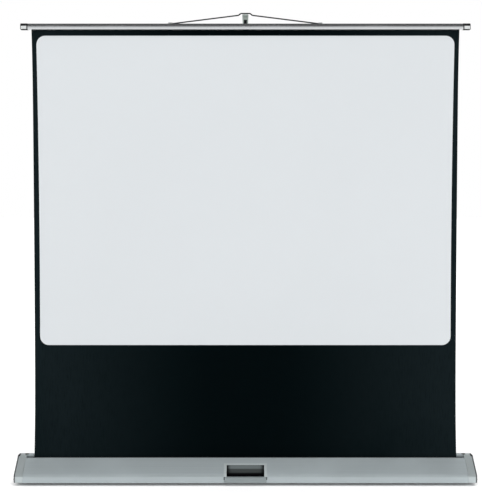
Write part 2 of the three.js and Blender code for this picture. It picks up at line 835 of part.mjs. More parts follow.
function mastBracketGeometry() {
  const front = rearWallSetback + clearance;
  const frontInner = front + cheekThickness;
  const low = rearTop - bracketDrop;
  const web = mastPivotHeight - bracketWebDrop;
  const top = mastPivotHeight + cheekRise;
  const body = extrudeAlongX(shapeOf([
    [front, low],
    [frontInner, low],
    [frontInner, web - cheekThickness],
    [rearCheekOuter, web - cheekThickness],
    [rearCheekOuter, top],
    [rearCheekInner, top],
    [rearCheekInner, web],
    [frontInner, web],
    [frontInner, top],
    [front, top],
  ]), 2 * bracketHalfWidth);
  const pinPath = rodProfile(pivotPinRadius + clearance, 0, rearCheekOuter + cutOverrun);
  const hole = turnedY(pinPath, smallRoundSteps);
  return cut(body, hole.translate(0, 0, mastPivotHeight));
}

function buildMastBracket() {
  place('mast_bracket', mastBracketGeometry(), blackPaint);
  const front = rearWallSetback + clearance;
  const pin = turnedY([
    [0, front - clearance - pivotHeadLength],
    [pivotHeadRadius, front - clearance - pivotHeadLength],
    [pivotHeadRadius, front - clearance],
    [pivotPinRadius, front - clearance],
    [pivotPinRadius, rearMost],
    [0, rearMost],
  ], smallRoundSteps);
  place('mast_pivot_pin', pin, steel, [0, 0, mastPivotHeight]);
  const nutBore = (pivotPinRadius + clearance) / Math.cos(Math.PI / nutSides);
  const nutProfile = tubeProfile(nutBore, pivotHeadRadius, rearMost - pivotNutLength, rearMost);
  place('mast_pivot_nut', turnedY(nutProfile, nutSides), steel, [0, 0, mastPivotHeight]);
  const screwFace = front + cheekThickness;
  const screwHeight = rearTop - bracketDrop + bracketScrewRise;
  const screwProfile = rodProfile(bracketScrewRadius, screwFace, screwFace + bracketScrewHead);
  for (const [side, label] of [[-1, 'left'], [1, 'right']]) {
    const screw = turnedY(screwProfile, smallRoundSteps);
    place(`mast_bracket_screw_${label}`, screw, steel, [side * bracketScrewSpread, 0, screwHeight]);
  }
}

// A ribbed ring, bored wide at its lower end for the tube it sits on and narrow for the tube that slides
function collarGeometry(lowerRadius, upperRadius) {
  const shape = new THREE.Shape();
  const steps = 2 * collarGrips;
  for (let step = 0; step < steps; step += 1) {
    const radius = collarRadius - (step % 2) * collarGripDepth;
    const angle = 2 * Math.PI * step / steps;
    const across = radius * Math.cos(angle);
    const up = radius * Math.sin(angle);
    if (step === 0) {
      shape.moveTo(across, up);
    } else {
      shape.lineTo(across, up);
    }
  }
  const body = extrude(shape, collarLength);
  const wide = rodProfile(lowerRadius + clearance, -cutOverrun, collarOverlap);
  const narrow = rodProfile(upperRadius + clearance, 0, collarLength + cutOverrun);
  return cut(body, turnedZ(wide, smallRoundSteps), turnedZ(narrow, smallRoundSteps));
}

function buildCollar(name, lowerRadius, upperRadius, tubeEnd) {
  const collar = collarGeometry(lowerRadius, upperRadius);
  place(name, collar, blackPlastic, [0, mastSetback, tubeEnd - collarOverlap + clearance]);
}

function buildMast() {
  const centre = (height) => [0, mastSetback, height];
  const pivot = mastPivotHeight;
  const knuckleTop = mastTubeStart;
  const plugRadius = outerTubeRadius - outerTubeWall - clearance;
  const knuckleShape = new THREE.Shape();
  knuckleShape.moveTo(knuckleHalfWidth, knuckleTop - clearance);
  knuckleShape.lineTo(-knuckleHalfWidth, knuckleTop - clearance);
  knuckleShape.lineTo(-knuckleHalfWidth, 0);
  knuckleShape.absarc(0, 0, knuckleHalfWidth, Math.PI, 2 * Math.PI, false);
  const knuckle = join(
    extrudeAlongY(knuckleShape, -outerTubeRadius, outerTubeRadius, smallRoundSteps),
    turnedZ(rodProfile(plugRadius, 0, knuckleTop + knucklePlugLength), smallRoundSteps),
  );
  const boreEnd = outerTubeRadius + cutOverrun;
  const bore = turnedY(rodProfile(pivotPinRadius + clearance, -boreEnd, boreEnd), smallRoundSteps);
  place('mast_knuckle', cut(knuckle, bore), blackPlastic, centre(pivot));
  const tube = (radius, wall, low, high) => turnedZ(tubeProfile(radius - wall, radius, low, high));
  const outerTube = tube(outerTubeRadius, outerTubeWall, pivot + mastTubeStart, pivot + outerTubeEnd);
  place('mast_outer_tube', outerTube, blackPaint, centre(0));
  const middleTube = tube(middleTubeRadius, middleTubeWall, pivot + middleTubeStart, pivot + middleTubeEnd);
  place('mast_middle_tube', middleTube, steel, centre(0));
  const innerTube = tube(innerTubeRadius, innerTubeWall, pivot + innerTubeStart, headFoot - clearance);
  place('mast_inner_tube', innerTube, blackPaint, centre(0));
  buildCollar('lower_lock_collar', outerTubeRadius, middleTubeRadius, pivot + outerTubeEnd);
  buildCollar('upper_lock_collar', middleTubeRadius, innerTubeRadius, pivot + middleTubeEnd);
  const middleGlide = tubeProfile(
    middleTubeRadius + clearance / 2, outerTubeRadius - outerTubeWall - clearance,
    pivot + middleTubeStart, pivot + middleTubeStart + glideLength,
  );
  place('middle_glide', turnedZ(middleGlide), blackPlastic, centre(0));
  const innerGlide = tubeProfile(
    innerTubeRadius + clearance / 2, middleTubeRadius - middleTubeWall - clearance,
    pivot + innerTubeStart, pivot + innerTubeStart + glideLength,
  );
  place('inner_glide', turnedZ(innerGlide), blackPlastic, centre(0));
}

function buildMastHead() {
  const foot = headFootWidth / 2;
  const top = headTopWidth / 2;
  const body = extrudeAlongY(
    shapeOf([[-foot, headFoot], [foot, headFoot], [top, headTop], [-top, headTop]]),
    headSetback, mastSetback + headBackReach,
  );
  const ledge = block(
    [-ledgeHalfWidth, ledgeFront, headTop - ledgeThickness],
    [ledgeHalfWidth, headSetback + ledgeFront, headTop],
  );
  const frontWindow = block(
    [-headWindowWidth / 2, headSetback - cutOverrun, headFoot - cutOverrun],
    [headWindowWidth / 2, headSetback + headWindowDepth, headTop - headWindowDrop],
  );
  place('mast_head', cut(join(body, ledge), frontWindow), headPlastic);
}

// Cradle on the rear wall that holds the folded mast

function buildCradle() {
  const bore = outerTubeRadius + clearance;
  const outer = bore + cradleWall;
  const low = rearTop - cradleFootHeight;
  const front = rearWallSetback + clearance;
  const halfLength = cradleLength / 2;
  const top = mastPivotHeight + outer;
  const plate = block([-halfLength, front, low], [halfLength, front + cradleWall, mastPivotHeight]);
  const ring = turnedX(rodProfile(outer, -halfLength, halfLength));
  ring.translate(0, mastSetback, mastPivotHeight);
  const hollow = turnedX(rodProfile(bore, -cradleLength, cradleLength));
  hollow.translate(0, mastSetback, mastPivotHeight);
  const above = block([-cradleLength, 0, mastPivotHeight], [cradleLength, mastSetback + 2 * outer, top]);
  const rearWallSpace = block([-cradleLength, 0, 0], [cradleLength, front, top]);
  const mouth = block(
    [-cradleLength, mastSetback - bore, mastPivotHeight - clearance],
    [cradleLength, mastSetback + bore, top],
  );
  const cradle = cut(join(plate, ring), hollow, above, rearWallSpace, mouth);
  place('mast_cradle', cradle, blackPlastic, [cradlePlace, 0, 0]);
}

// Swivel feet under the case, stowed along it, and two fixed pads

function buildFeet() {
  const footTop = caseBottom - footGap;
  const footBottom = footTop - footThickness;
  const footSetback = (rearWallSetback - frontFaceSetback) / 2;
  const soleLength = footLength - 2 * soleInset;
  const soleWidth = footWidth - 2 * soleInset;
  const holePath = rodProfile(footPivotRadius + clearance, -cutOverrun, footThickness + cutOverrun);
  const headPath = rodProfile(footScrewHeadRadius + clearance, -cutOverrun, cutOverrun);
  for (const [side, label] of [[-1, 'left'], [1, 'right']]) {
    const bar = extrude(roundedRectangle(footLength, footWidth, footWidth / 2 - clearance), footThickness);
    const hole = turnedZ(holePath, smallRoundSteps);
    const position = [side * footPlace, footSetback, footBottom];
    place(`foot_bar_${label}`, cut(bar, hole), blackPaint, position);
    const soleShape = roundedRectangle(soleLength, soleWidth, soleWidth / 2 - clearance);
    const sole = extrude(soleShape, footBottom);
    const headRoom = turnedZ(headPath, smallRoundSteps);
    place(`foot_sole_${label}`, cut(sole, headRoom), blackRubber, [side * footPlace, footSetback, 0]);
    const screw = turnedZ([
      [0, footBottom - clearance - footScrewHeadLength],
      [footScrewHeadRadius, footBottom - clearance - footScrewHeadLength],
      [footScrewHeadRadius, footBottom - clearance],
      [footPivotRadius, footBottom - clearance],
      [footPivotRadius, caseBottom],
      [0, caseBottom],
    ], smallRoundSteps);
    place(`foot_pivot_screw_${label}`, screw, steel, [side * footPlace, footSetback, 0]);
  }
  const padFront = padFrontSetback - frontFaceSetback;
  const padRear = rearWallSetback - padRearSetback;
  const padSetback = (padFront + padRear) / 2;
  for (const [side, label] of [[-1, 'left'], [1, 'right']]) {
    const pad = extrude(roundedRectangle(padWidth, padRear - padFront, padRound), caseBottom);
    place(`rubber_pad_${label}`, pad, blackRubber, [side * padPlace, padSetback, 0]);
  }
}

buildCaseShells();
buildEndCaps();
buildFelt();
buildHandle();
buildRoller();
buildFabric();
buildTopBar();
buildBail();
buildMastBracket();
buildMast();
buildMastHead();
buildCradle();
buildFeet();

export default screen;
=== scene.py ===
import json
import math
from functools import cache
from itertools import product
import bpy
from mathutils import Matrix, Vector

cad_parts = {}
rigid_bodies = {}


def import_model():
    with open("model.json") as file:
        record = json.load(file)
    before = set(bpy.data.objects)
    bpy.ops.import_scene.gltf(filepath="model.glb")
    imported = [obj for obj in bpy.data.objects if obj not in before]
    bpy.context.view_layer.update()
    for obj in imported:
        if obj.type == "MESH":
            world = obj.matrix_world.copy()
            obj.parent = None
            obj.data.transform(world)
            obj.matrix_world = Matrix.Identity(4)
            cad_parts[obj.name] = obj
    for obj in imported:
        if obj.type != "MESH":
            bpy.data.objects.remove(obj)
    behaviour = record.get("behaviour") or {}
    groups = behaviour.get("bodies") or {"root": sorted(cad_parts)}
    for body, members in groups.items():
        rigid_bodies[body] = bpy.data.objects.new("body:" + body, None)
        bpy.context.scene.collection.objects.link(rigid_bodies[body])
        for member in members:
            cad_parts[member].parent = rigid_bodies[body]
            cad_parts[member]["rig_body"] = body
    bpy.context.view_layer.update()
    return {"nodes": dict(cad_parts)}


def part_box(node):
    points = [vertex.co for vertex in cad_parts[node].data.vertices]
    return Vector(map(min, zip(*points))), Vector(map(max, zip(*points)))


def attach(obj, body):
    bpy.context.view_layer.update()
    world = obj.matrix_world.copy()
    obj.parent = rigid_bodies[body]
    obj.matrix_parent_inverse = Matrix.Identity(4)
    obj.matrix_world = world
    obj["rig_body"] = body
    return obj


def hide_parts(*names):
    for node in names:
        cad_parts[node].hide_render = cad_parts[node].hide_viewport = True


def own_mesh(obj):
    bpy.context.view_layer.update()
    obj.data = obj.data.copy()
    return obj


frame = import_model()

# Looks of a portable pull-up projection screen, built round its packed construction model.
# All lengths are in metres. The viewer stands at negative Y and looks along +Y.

from types import SimpleNamespace

import bmesh
import bpy
from mathutils import Matrix, Vector, noise

# Driving sizes of the looks
MM = 0.001
ARC_STEPS = 8
BEND_STEPS = 10
BLOCK_STEPS = 4
WIRE_SIDES = 20
ROUND_STEPS = 64
SMALL_STEPS = 32
SHARP_ANGLE = math.radians(32)
EDGE_ROUND = 0.5 * MM
THIN_EDGE = 0.3 * MM
FINE_EDGE = 0.4 * MM
CASTING_EDGE = 0.7 * MM
GRIP_EDGE = 0.9 * MM
FIT = 0.3 * MM
TINY = 0.1 * MM

# Camera, as the photo was taken
CAMERA_PLACE = (-0.017, -4.59, 1.146)
CAMERA_PITCH = math.radians(87.0)
CAMERA_LENS = 85.3
SENSOR_WIDTH = 36
CAMERA_NEAR = 0.05
CAMERA_FAR = 200

# Light level. Each sun has a name, an azimuth, an elevation and an energy.
WHITE = (1.0, 1.0, 1.0, 1.0)
AMBIENT_LEVEL = 0.42
CEILING_LEVEL = 0.06
CEILING_FADE = (0.13, 0.30)
SIDE_LEVEL = 0.22
SIDE_FADE = (0.5, 0.88)
FLOOR_TONE = 0.8
FLOOR_GLOW = 0.08
FLOOR_SIZE = 80
SUN_SOFTNESS = math.radians(40)
SUNS = (
    ("key_left", -38, 50, 1.0),
    ("key_right", 38, 50, 1.0),
    ("back_light", 165, 50, 0.8),
    ("top_light", 0, 85, 0.42),
)

SIDES = ((-1, "left"), (1, "right"))


@cache
def box_of(node):
    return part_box(node)


# Node helpers

class Graph:
    """The shader nodes of a material or of the world."""

    def __init__(self, owner):
        owner.use_nodes = True
        self.tree = owner.node_tree

    def node(self, kind, sockets=None, **settings):
        """A node with these settings. Each socket gets a value, or a link from another node's output."""
        made = self.tree.nodes.new("ShaderNode" + kind)
        for key, value in settings.items():
            setattr(made, key, value)
        self.fill(made, sockets or {})
        return made

    def fill(self, node, sockets):
        for socket, value in sockets.items():
            if isinstance(value, bpy.types.NodeSocket):
                self.tree.links.new(value, node.inputs[socket])
            else:
                node.inputs[socket].default_value = value

    def math(self, operation, *values):
        return self.node("Math", dict(enumerate(values)), operation=operation).outputs["Value"]

    def span(self, factor, low, high, start=0.3, end=0.7):
        sockets = {"Value": factor, "From Min": start, "From Max": end, "To Min": low, "To Max": high}
        return self.node("MapRange", sockets, interpolation_type="SMOOTHSTEP").outputs["Result"]


class Surface(Graph):
    """A Principled material whose colour, roughness and bump come from its own nodes."""

    def __init__(self, name, colour, roughness, metallic=0.0, specular=0.5):
        self.material = bpy.data.materials.new(name)
        super().__init__(self.material)
        self.slot = name
        self.shader = self.tree.nodes["Principled BSDF"]
        self.colour = colour
        self.fill(self.shader, {"Base Color": (*colour, 1), "Roughness": roughness})
        self.fill(self.shader, {"Metallic": metallic, "Specular IOR Level": specular})
        self.place = self.node("TexCoord").outputs["Object"]
        self.relief = {}

    def noise(self, scale, stretch=(1, 1, 1), detail=3.0, roughness=0.5):
        place = self.node("Mapping", {"Scale": stretch, "Vector": self.place}).outputs["Vector"]
        sockets = {"Vector": place, "Scale": scale, "Detail": detail, "Roughness": roughness}
        return self.node("TexNoise", sockets).outputs["Fac"]

    def coordinate(self, axis):
        return self.node("SeparateXYZ", {"Vector": self.place}).outputs[axis]

    def weave(self, pitch):
        """Threads over and under each other in X and Z, one thread in each pitch."""
        turn = 2 * math.pi / pitch
        across, up = [self.math("SINE", self.math("MULTIPLY", self.coordinate(axis), turn)) for axis in "XZ"]
        return self.math("MULTIPLY", across, up)

    def vary_colour(self, factor, other, start=0.3, end=0.7):
        """Mixes towards another colour, or towards this one times a number, where factor is high."""
        if not isinstance(other, tuple):
            other = [part * other for part in self.colour]
        socket = self.shader.inputs["Base Color"]
        under = socket.links[0].from_socket if socket.is_linked else (*self.colour, 1)
        sockets = {"Factor": self.span(factor, 0.0, 1.0, start, end), "A": under, "B": (*other, 1)}
        mix = self.node("Mix", sockets, data_type="RGBA")
        self.fill(self.shader, {"Base Color": mix.outputs["Result"]})

    def vary_roughness(self, factor, low, high):
        self.fill(self.shader, {"Roughness": self.span(factor, low, high)})

    def bump(self, height, strength, distance):
        """Adds a height to the relief that the material already has."""
        sockets = {"Height": height, "Strength": strength, "Distance": distance, **self.relief}
        self.relief = {"Normal": self.node("Bump", sockets).outputs["Normal"]}
        self.fill(self.shader, self.relief)


# Materials

OPENING_HALF = 72.5 * MM
OPENING_REACH = 54 * MM
POCKET_CREASE = 57 * MM
POCKET_DEEP = 38 * MM
POCKET_BLUR = 2 * MM
POCKET_SHADE = 18 * MM
CASE_END = 892.5 * MM
# From these distances in from the case's end, the end caps' painted shade starts and is full.
CAP_SHADE = 7 * MM
CAP_DARK = 5.5 * MM
MOULD_GRAIN = 0.7 * MM
CLOTH_THREAD = 1.3 * MM
COATING_THREAD = 1.1 * MM
FINE_RELIEF = 0.05 * MM
LINE_RELIEF = 0.08 * MM
GRAIN_RELIEF = 0.1 * MM
PORE_RELIEF = 0.12 * MM
PEEL_RELIEF = 0.15 * MM
FIBRE_RELIEF = 0.3 * MM


def anodised(name, colour, roughness, metallic):
    look = Surface(name, colour, roughness, metallic)
    die_lines = look.noise(1.0, stretch=(1.5, 700, 700), detail=2)
    haze = look.noise(5.0, detail=4)
    grain = look.noise(2200, detail=1)
    look.vary_colour(die_lines, 0.93)
    look.vary_colour(haze, 1.03, 0.45, 0.75)
    look.vary_roughness(haze, roughness - 0.03, roughness + 0.04)
    look.bump(die_lines, 0.10, LINE_RELIEF)
    look.bump(grain, 0.06, FINE_RELIEF)
    return look


def moulded(name, colour, roughness, metallic=0.0, end_shade_colour=None):
    """Moulded plastic, which turns to a painted shade colour at the case's two ends where that is given,
    standing for the dark reflection of the rounded outer edges and end faces.
    """
    look = Surface(name, colour, roughness, metallic, specular=0.4)
    grain = look.noise(1 / MOULD_GRAIN, detail=2)
    haze = look.noise(9.0, detail=4)
    look.vary_colour(haze, 0.9)
    if end_shade_colour:
        # Painted shade: the ends turn dark, standing for the dark reflection of the rounded outer edge.
        aside = look.math("ABSOLUTE", look.coordinate("X"))
        look.vary_colour(aside, end_shade_colour, CASE_END - CAP_SHADE, CASE_END - CAP_DARK)
    look.vary_roughness(haze, roughness - 0.05, roughness + 0.06)
    look.bump(grain, 0.12, GRAIN_RELIEF)
    return look


def pocket(name, colour, crease_shade_colour, deep_shade_colour):
    """Moulded plastic with painted shade in the pocket: light over its crease, painted darker below it and
    painted black at its bottom and sides.
    """
    look = Surface(name, colour, 0.6, specular=0.12)
    grain = look.noise(1400, detail=2)
    haze = look.noise(9.0, detail=4)
    look.vary_colour(haze, 0.9)
    # Painted shade: darker below the crease, and black at the pocket's bottom and sides.
    depth = look.math("MULTIPLY", look.coordinate("Z"), -1)
    aside = look.math("ABSOLUTE", look.coordinate("X"))
    look.vary_colour(depth, crease_shade_colour, -POCKET_CREASE - POCKET_BLUR, -POCKET_CREASE)
    look.vary_colour(depth, deep_shade_colour, -POCKET_DEEP - 4 * POCKET_BLUR, -POCKET_DEEP)
    look.vary_colour(aside, deep_shade_colour, OPENING_HALF - POCKET_SHADE, OPENING_HALF)
    look.vary_roughness(haze, 0.55, 0.68)
    look.bump(grain, 0.15, GRAIN_RELIEF)
    return look


def painted(name, colour, roughness):
    look = Surface(name, colour, roughness, specular=0.45)
    peel = look.noise(420, detail=2)
    scuffs = look.noise(30, stretch=(1, 1, 0.25), detail=5, roughness=0.65)
    look.vary_colour(scuffs, 1.9, 0.6, 0.8)
    look.vary_roughness(scuffs, roughness - 0.04, roughness + 0.12)
    look.bump(peel, 0.12, PEEL_RELIEF)
    return look


def plated(name, colour, roughness, metallic=1.0):
    look = Surface(name, colour, roughness, metallic)
    stains = look.noise(55, detail=4, roughness=0.6)
    scratches = look.noise(40, stretch=(1, 14, 1), detail=3)
    look.vary_colour(stains, (colour[0] * 0.86, colour[1] * 0.84, colour[2] * 0.8))
    look.vary_roughness(scratches, roughness - 0.06, roughness + 0.12)
    look.bump(scratches, 0.05, LINE_RELIEF)
    return look


def rubbery(name, colour):
    look = Surface(name, colour, 0.82, specular=0.25)
    dust = look.noise(40, detail=5, roughness=0.65)
    pores = look.noise(900, detail=2)
    look.vary_colour(dust, 1.8, 0.5, 0.8)
    look.vary_roughness(dust, 0.74, 0.92)
    look.bump(pores, 0.2, PORE_RELIEF)
    return look


def felted(name, colour):
    look = Surface(name, colour, 0.95, specular=0.1)
    look.fill(look.shader, {"Sheen Weight": 0.25})
    fibres = look.noise(900, stretch=(1, 1, 0.35), detail=4, roughness=0.7)
    look.vary_colour(fibres, 2.2, 0.45, 0.75)
    look.vary_roughness(fibres, 0.9, 1.0)
    look.bump(fibres, 0.5, FIBRE_RELIEF)
    return look


def carrier_cloth(name, colour, side_sheen_colour):
    look = Surface(name, colour, 0.80, specular=0.012)
    slubs = look.noise(260, stretch=(1, 1, 0.12), detail=3)
    cloud = look.noise(3.2, detail=3)
    # Painted sheen: the black cloth turns paler towards its side edges.
    look.vary_colour(look.math("ABSOLUTE", look.coordinate("X")), side_sheen_colour, 0.08, 0.90)
    look.vary_colour(slubs, 1.35, 0.4, 1.1)
    look.vary_colour(cloud, 1.5, 0.45, 1.2)
    look.vary_roughness(cloud, 0.74, 0.86)
    look.bump(look.weave(CLOTH_THREAD), 0.25, LINE_RELIEF)
    look.bump(slubs, 0.1, LINE_RELIEF)
    return look


def picture_coating(name, colour):
    look = Surface(name, colour, 0.88, specular=0.12)
    cloud = look.noise(1.7, detail=2)
    pearl = look.noise(1400, detail=2)
    look.vary_colour(cloud, 0.99)
    look.vary_roughness(pearl, 0.84, 0.92)
    look.bump(look.weave(COATING_THREAD), 0.06, FINE_RELIEF)
    look.bump(pearl, 0.08, FINE_RELIEF)
    return look


CASE_METAL = anodised("anodised_case", (0.535, 0.60, 0.62), 0.42, 0.55)
BAR_METAL = anodised("anodised_bar", (0.73, 0.75, 0.765), 0.19, 0.94)
RIM_METAL = anodised("handle_rim_metal", (0.63, 0.69, 0.70), 0.40, 0.5)
GRIP_METAL = anodised("handle_grip_metal", (0.35, 0.40, 0.41), 0.42, 0.6)
MAST_METAL = anodised("mast_aluminium", (0.62, 0.63, 0.64), 0.34, 0.85)
# The end caps' ends get painted shade, for the dark reflection of their rounded outer edges.
CAP_PLASTIC = moulded("end_cap_plastic", (0.57, 0.63, 0.64), 0.36, 0.6, end_shade_colour=(0.13, 0.14, 0.145))
CORE_PLASTIC = moulded("bar_cap_plastic", (0.83, 0.86, 0.86), 0.36, metallic=0.3)
HEAD_PLASTIC = moulded("head_plastic", (0.44, 0.50, 0.47), 0.45)
BLACK_PLASTIC = moulded("black_plastic", (0.018, 0.019, 0.021), 0.48)
# Near-black painted shade, for the pocket's bottom and sides and the mast head's window.
PAINTED_SHADE_BLACK = (0.003, 0.003, 0.004)
POCKET_PLASTIC = pocket("pocket_plastic", (0.140, 0.162, 0.164), (0.060, 0.068, 0.068), PAINTED_SHADE_BLACK)
BLACK_RUBBER = rubbery("black_rubber", (0.016, 0.016, 0.017))
DARK_FELT = felted("felt", (0.02, 0.02, 0.021))
BLACK_PAINT = painted("black_paint", (0.014, 0.015, 0.017), 0.42)
FASTENER = plated("fastener_steel", (0.60, 0.60, 0.59), 0.30)
BRACKET_STEEL = plated("bracket_steel", (0.34, 0.35, 0.35), 0.40)
WIRE_STEEL = plated("wire_steel", (0.040, 0.043, 0.043), 0.42, metallic=0.8)
CLIP_STEEL = plated("clip_steel", (0.40, 0.42, 0.42), 0.42, metallic=0.3)
# A near-black liner whose colour is painted shade in the mast head's window.
SHADE_LINER = moulded("shade_liner", PAINTED_SHADE_BLACK, 0.7)
# The cloth's paler sides are painted sheen.
BLACK_CLOTH = carrier_cloth("black_fabric", (0.0010, 0.0030, 0.0036), (0.0080, 0.0135, 0.0155))
WHITE_COATING = picture_coating("white_picture", (0.735, 0.767, 0.790))

# Finishes that fill another one's slot of the frame
RIM_METAL.slot = GRIP_METAL.slot = "handle_metal"
POCKET_PLASTIC.slot = SHADE_LINER.slot = "black_plastic"
CORE_PLASTIC.slot = "end_cap_plastic"
CLIP_STEEL.slot = "bracket_steel"

# Nodes whose solids are kept: the finish, the width of their rounded edges and their names
KEPT_SOLIDS = (
    (POCKET_PLASTIC, EDGE_ROUND, "handle_housing"),
    (RIM_METAL, FINE_EDGE, "handle_rim"),
    (GRIP_METAL, GRIP_EDGE, "handle_grip"),
    (BLACK_PLASTIC, EDGE_ROUND, "idler_plug", "spring_plug"),
    (BRACKET_STEEL, EDGE_ROUND, "roller_bracket_left", "roller_bracket_right"),
    (BRACKET_STEEL, FINE_EDGE, "spring_shaft"),
    (CLIP_STEEL, THIN_EDGE, "bail_clip_left", "bail_clip_right"),
    (BLACK_PAINT, CASTING_EDGE, "mast_bracket"),
    (BLACK_PLASTIC, CASTING_EDGE, "mast_knuckle", "mast_cradle"),
    (BLACK_PLASTIC, THIN_EDGE, "middle_glide", "inner_glide"),
    (BLACK_RUBBER, FINE_EDGE, "foot_sole_left", "foot_sole_right"),
    (FASTENER, FINE_EDGE, "foot_pivot_screw_left", "foot_pivot_screw_right"),
)


# Shape helpers

def spread(start, end, count):
    """Evenly spaced values from start to end, both of them included."""
    return [start + (end - start) * step / count for step in range(count + 1)]


def corner_ways(corners, index):
    """A corner's place, and the ways from it to the corners before and after it."""
    before, here, after = [Vector(corners[i % len(corners)][:2]) for i in (index - 1, index, index + 1)]
    return here, (before - here).normalized(), (after - here).normalized()


def rounded(corners):
    """The outline of corners (across, up, radius), each radius turned into an arc."""
    points = []
    for index, (_, _, radius) in enumerate(corners):
        here, back, ahead = corner_ways(corners, index)
        if radius == 0:
            points.append(here)
            continue
        half = back.angle(ahead) / 2
        centre = here + (back + ahead).normalized() * (radius / math.sin(half))
        first = here + back * (radius / math.tan(half)) - centre
        turn = math.copysign(math.pi - 2 * half, ahead.cross(back))
        points += [centre + Matrix.Rotation(part, 2) @ first for part in spread(0, turn, ARC_STEPS)]
    return points


def moved_in(corners, amount):
    """The same corners with every side moved in by amount. Corners run anticlockwise."""
    inner = []
    for index, (_, _, radius) in enumerate(corners):
        here, back, ahead = corner_ways(corners, index)
        first = Vector((back.y, -back.x))
        second = Vector((-ahead.y, ahead.x))
        area = first.cross(second)
        if abs(area) < 1e-9:
            shift = first * amount
        else:
            shift = Vector((second.y - first.y, first.x - second.x)) * (amount / area)
        grown = radius - amount if area > 0 else radius + amount
        inner.append((*(here + shift), max(grown, TINY)))
    return inner


def quarter(radius, steps=ARC_STEPS):
    """A quarter arc in (run, rise): the run falls from radius to 0 while the rise grows to radius."""
    turns = spread(0, math.pi / 2, steps)
    return [(radius * (1 - math.sin(turn)), radius * (1 - math.cos(turn))) for turn in turns]


def shoulder(start, control, end, steps=BEND_STEPS):
    """A quadratic curve from start to end."""
    shares = spread(0, 1, steps)
    return [start * (1 - s) ** 2 + control * (2 * s * (1 - s)) + end * s ** 2 for s in shares]


def loft(rings, closed=False):
    """Quads between rings of equally many points. A closed loft joins its last ring to its first."""
    size = len(rings[0])
    points = [point for ring in rings for point in ring]
    faces = []
    for ring, side in product(range(len(rings) if closed else len(rings) - 1), range(size)):
        here = ring * size
        there = (ring + 1) % len(rings) * size
        beside = (side + 1) % size
        faces.append((here + side, here + beside, there + beside, there + side))
    if not closed:
        faces += [tuple(range(size)), tuple(range(len(points) - size, len(points)))]
    return points, faces


def stacked(rings, axis="Z", closed=False):
    """A loft of (section, place) rings: sections in (x, y) along Z, or in (y, z) along X."""
    if axis == "X":
        return loft([[Vector((place, a, b)) for a, b in section] for section, place in rings], closed)
    return loft([[Vector((a, b, place)) for a, b in section] for section, place in rings], closed)


def extruded(section, start, end):
    """A section in (y, z) drawn out along X."""
    return stacked([(section, start), (section, end)], "X")


def round_section(radius_at, steps):
    """A closed curve round (0, 0). radius_at gives its radius at each turn."""
    turns = spread(0, 2 * math.pi, steps)[:-1]
    return [(radius_at(t) * math.cos(t), radius_at(t) * math.sin(t)) for t in turns]


def circle(radius, steps=SMALL_STEPS):
    return round_section(lambda turn: radius, steps)


def hexagon(apothem, steps=SMALL_STEPS):
    """A hexagon drawn with as many points as a circle, to loft it to one."""
    part = math.pi / 6
    return round_section(lambda turn: apothem / math.cos((turn % (2 * part)) - part), steps)


def turned(profile, steps=ROUND_STEPS, closed=False):
    """A profile of (radius, along) turned round Z."""
    return stacked([(circle(max(radius, 1e-6), steps), along) for radius, along in profile], closed=closed)


def tube_profile(inner, outer, start, end, edge=FINE_EDGE):
    return [
        (inner + edge, start), (outer - edge, start), (outer, start + edge), (outer, end - edge),
        (outer - edge, end), (inner + edge, end), (inner, end - edge), (inner, start + edge),
    ]


def swept(path, radius, sides):
    """A round wire along a path, its rings carried on without twist."""
    rings = []
    side = (path[1] - path[0]).normalized().orthogonal().normalized()
    for index, point in enumerate(path):
        tangent = (path[min(index + 1, len(path) - 1)] - path[max(index - 1, 0)]).normalized()
        side = (side - tangent * side.dot(tangent)).normalized()
        other = tangent.cross(side)
        rings.append([point + side * a + other * b for a, b in circle(radius, sides)])
    return loft(rings)


def moved(shape, matrix):
    points, faces = shape
    return [matrix @ Vector(point) for point in points], faces


def facing(direction, place):
    """Turns local Z to direction, at a place."""
    turn = Vector(direction).to_track_quat("Z", "Y").to_matrix().to_4x4()
    return Matrix.Translation(Vector(place)) @ turn


def cleaned(mesh, width=0):
    """Joins doubled points and turns faces outwards. Where a width is given, sharp edges are rounded."""
    edit = bmesh.new()
    edit.from_mesh(mesh)
    bmesh.ops.remove_doubles(edit, verts=edit.verts, dist=1e-6)
    if width:
        bmesh.ops.dissolve_limit(edit, angle_limit=math.radians(1), verts=edit.verts, edges=edit.edges)
        sharp = [e for e in edit.edges if len(e.link_faces) == 2 and e.calc_face_angle(0) > SHARP_ANGLE]
        bmesh.ops.bevel(
            edit, geom=sharp, offset=width, offset_type="OFFSET", segments=2,
            profile=0.5, affect="EDGES", clamp_overlap=True,
        )
    bmesh.ops.recalc_face_normals(edit, faces=edit.faces)
    edit.to_mesh(mesh)
    edit.free()
    return mesh


def linked(name, data):
    """A new object of the scene."""
    made = bpy.data.objects.new(name, data)
    bpy.context.scene.collection.objects.link(made)
    return made


def bare_object(name, shape):
    points, faces = shape
    mesh = bpy.data.meshes.new(name)
    mesh.from_pydata([tuple(point) for point in points], [], faces)
    return linked(name, cleaned(mesh))


def settle(obj, finish, node=None, body=None, angle=SHARP_ANGLE):
    """Smooths an object and gives it its finish and its body. It stands for the node that is named."""
    mesh = obj.data
    mesh.polygons.foreach_set("use_smooth", [True] * len(mesh.polygons))
    mesh.set_sharp_from_angle(angle=angle)
    weighted = obj.modifiers.new("weighted_normals", "WEIGHTED_NORMAL")
    weighted.keep_sharp = True
    weighted.weight = 80
    mesh.materials.clear()
    mesh.materials.append(finish.material)
    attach(obj, body or frame["nodes"][node]["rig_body"])
    if node:
        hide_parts(node)
    return obj


def piece(shape, finish, node=None, name=None, **more):
    return settle(bare_object(name or node + "_detail", shape), finish, node, **more)


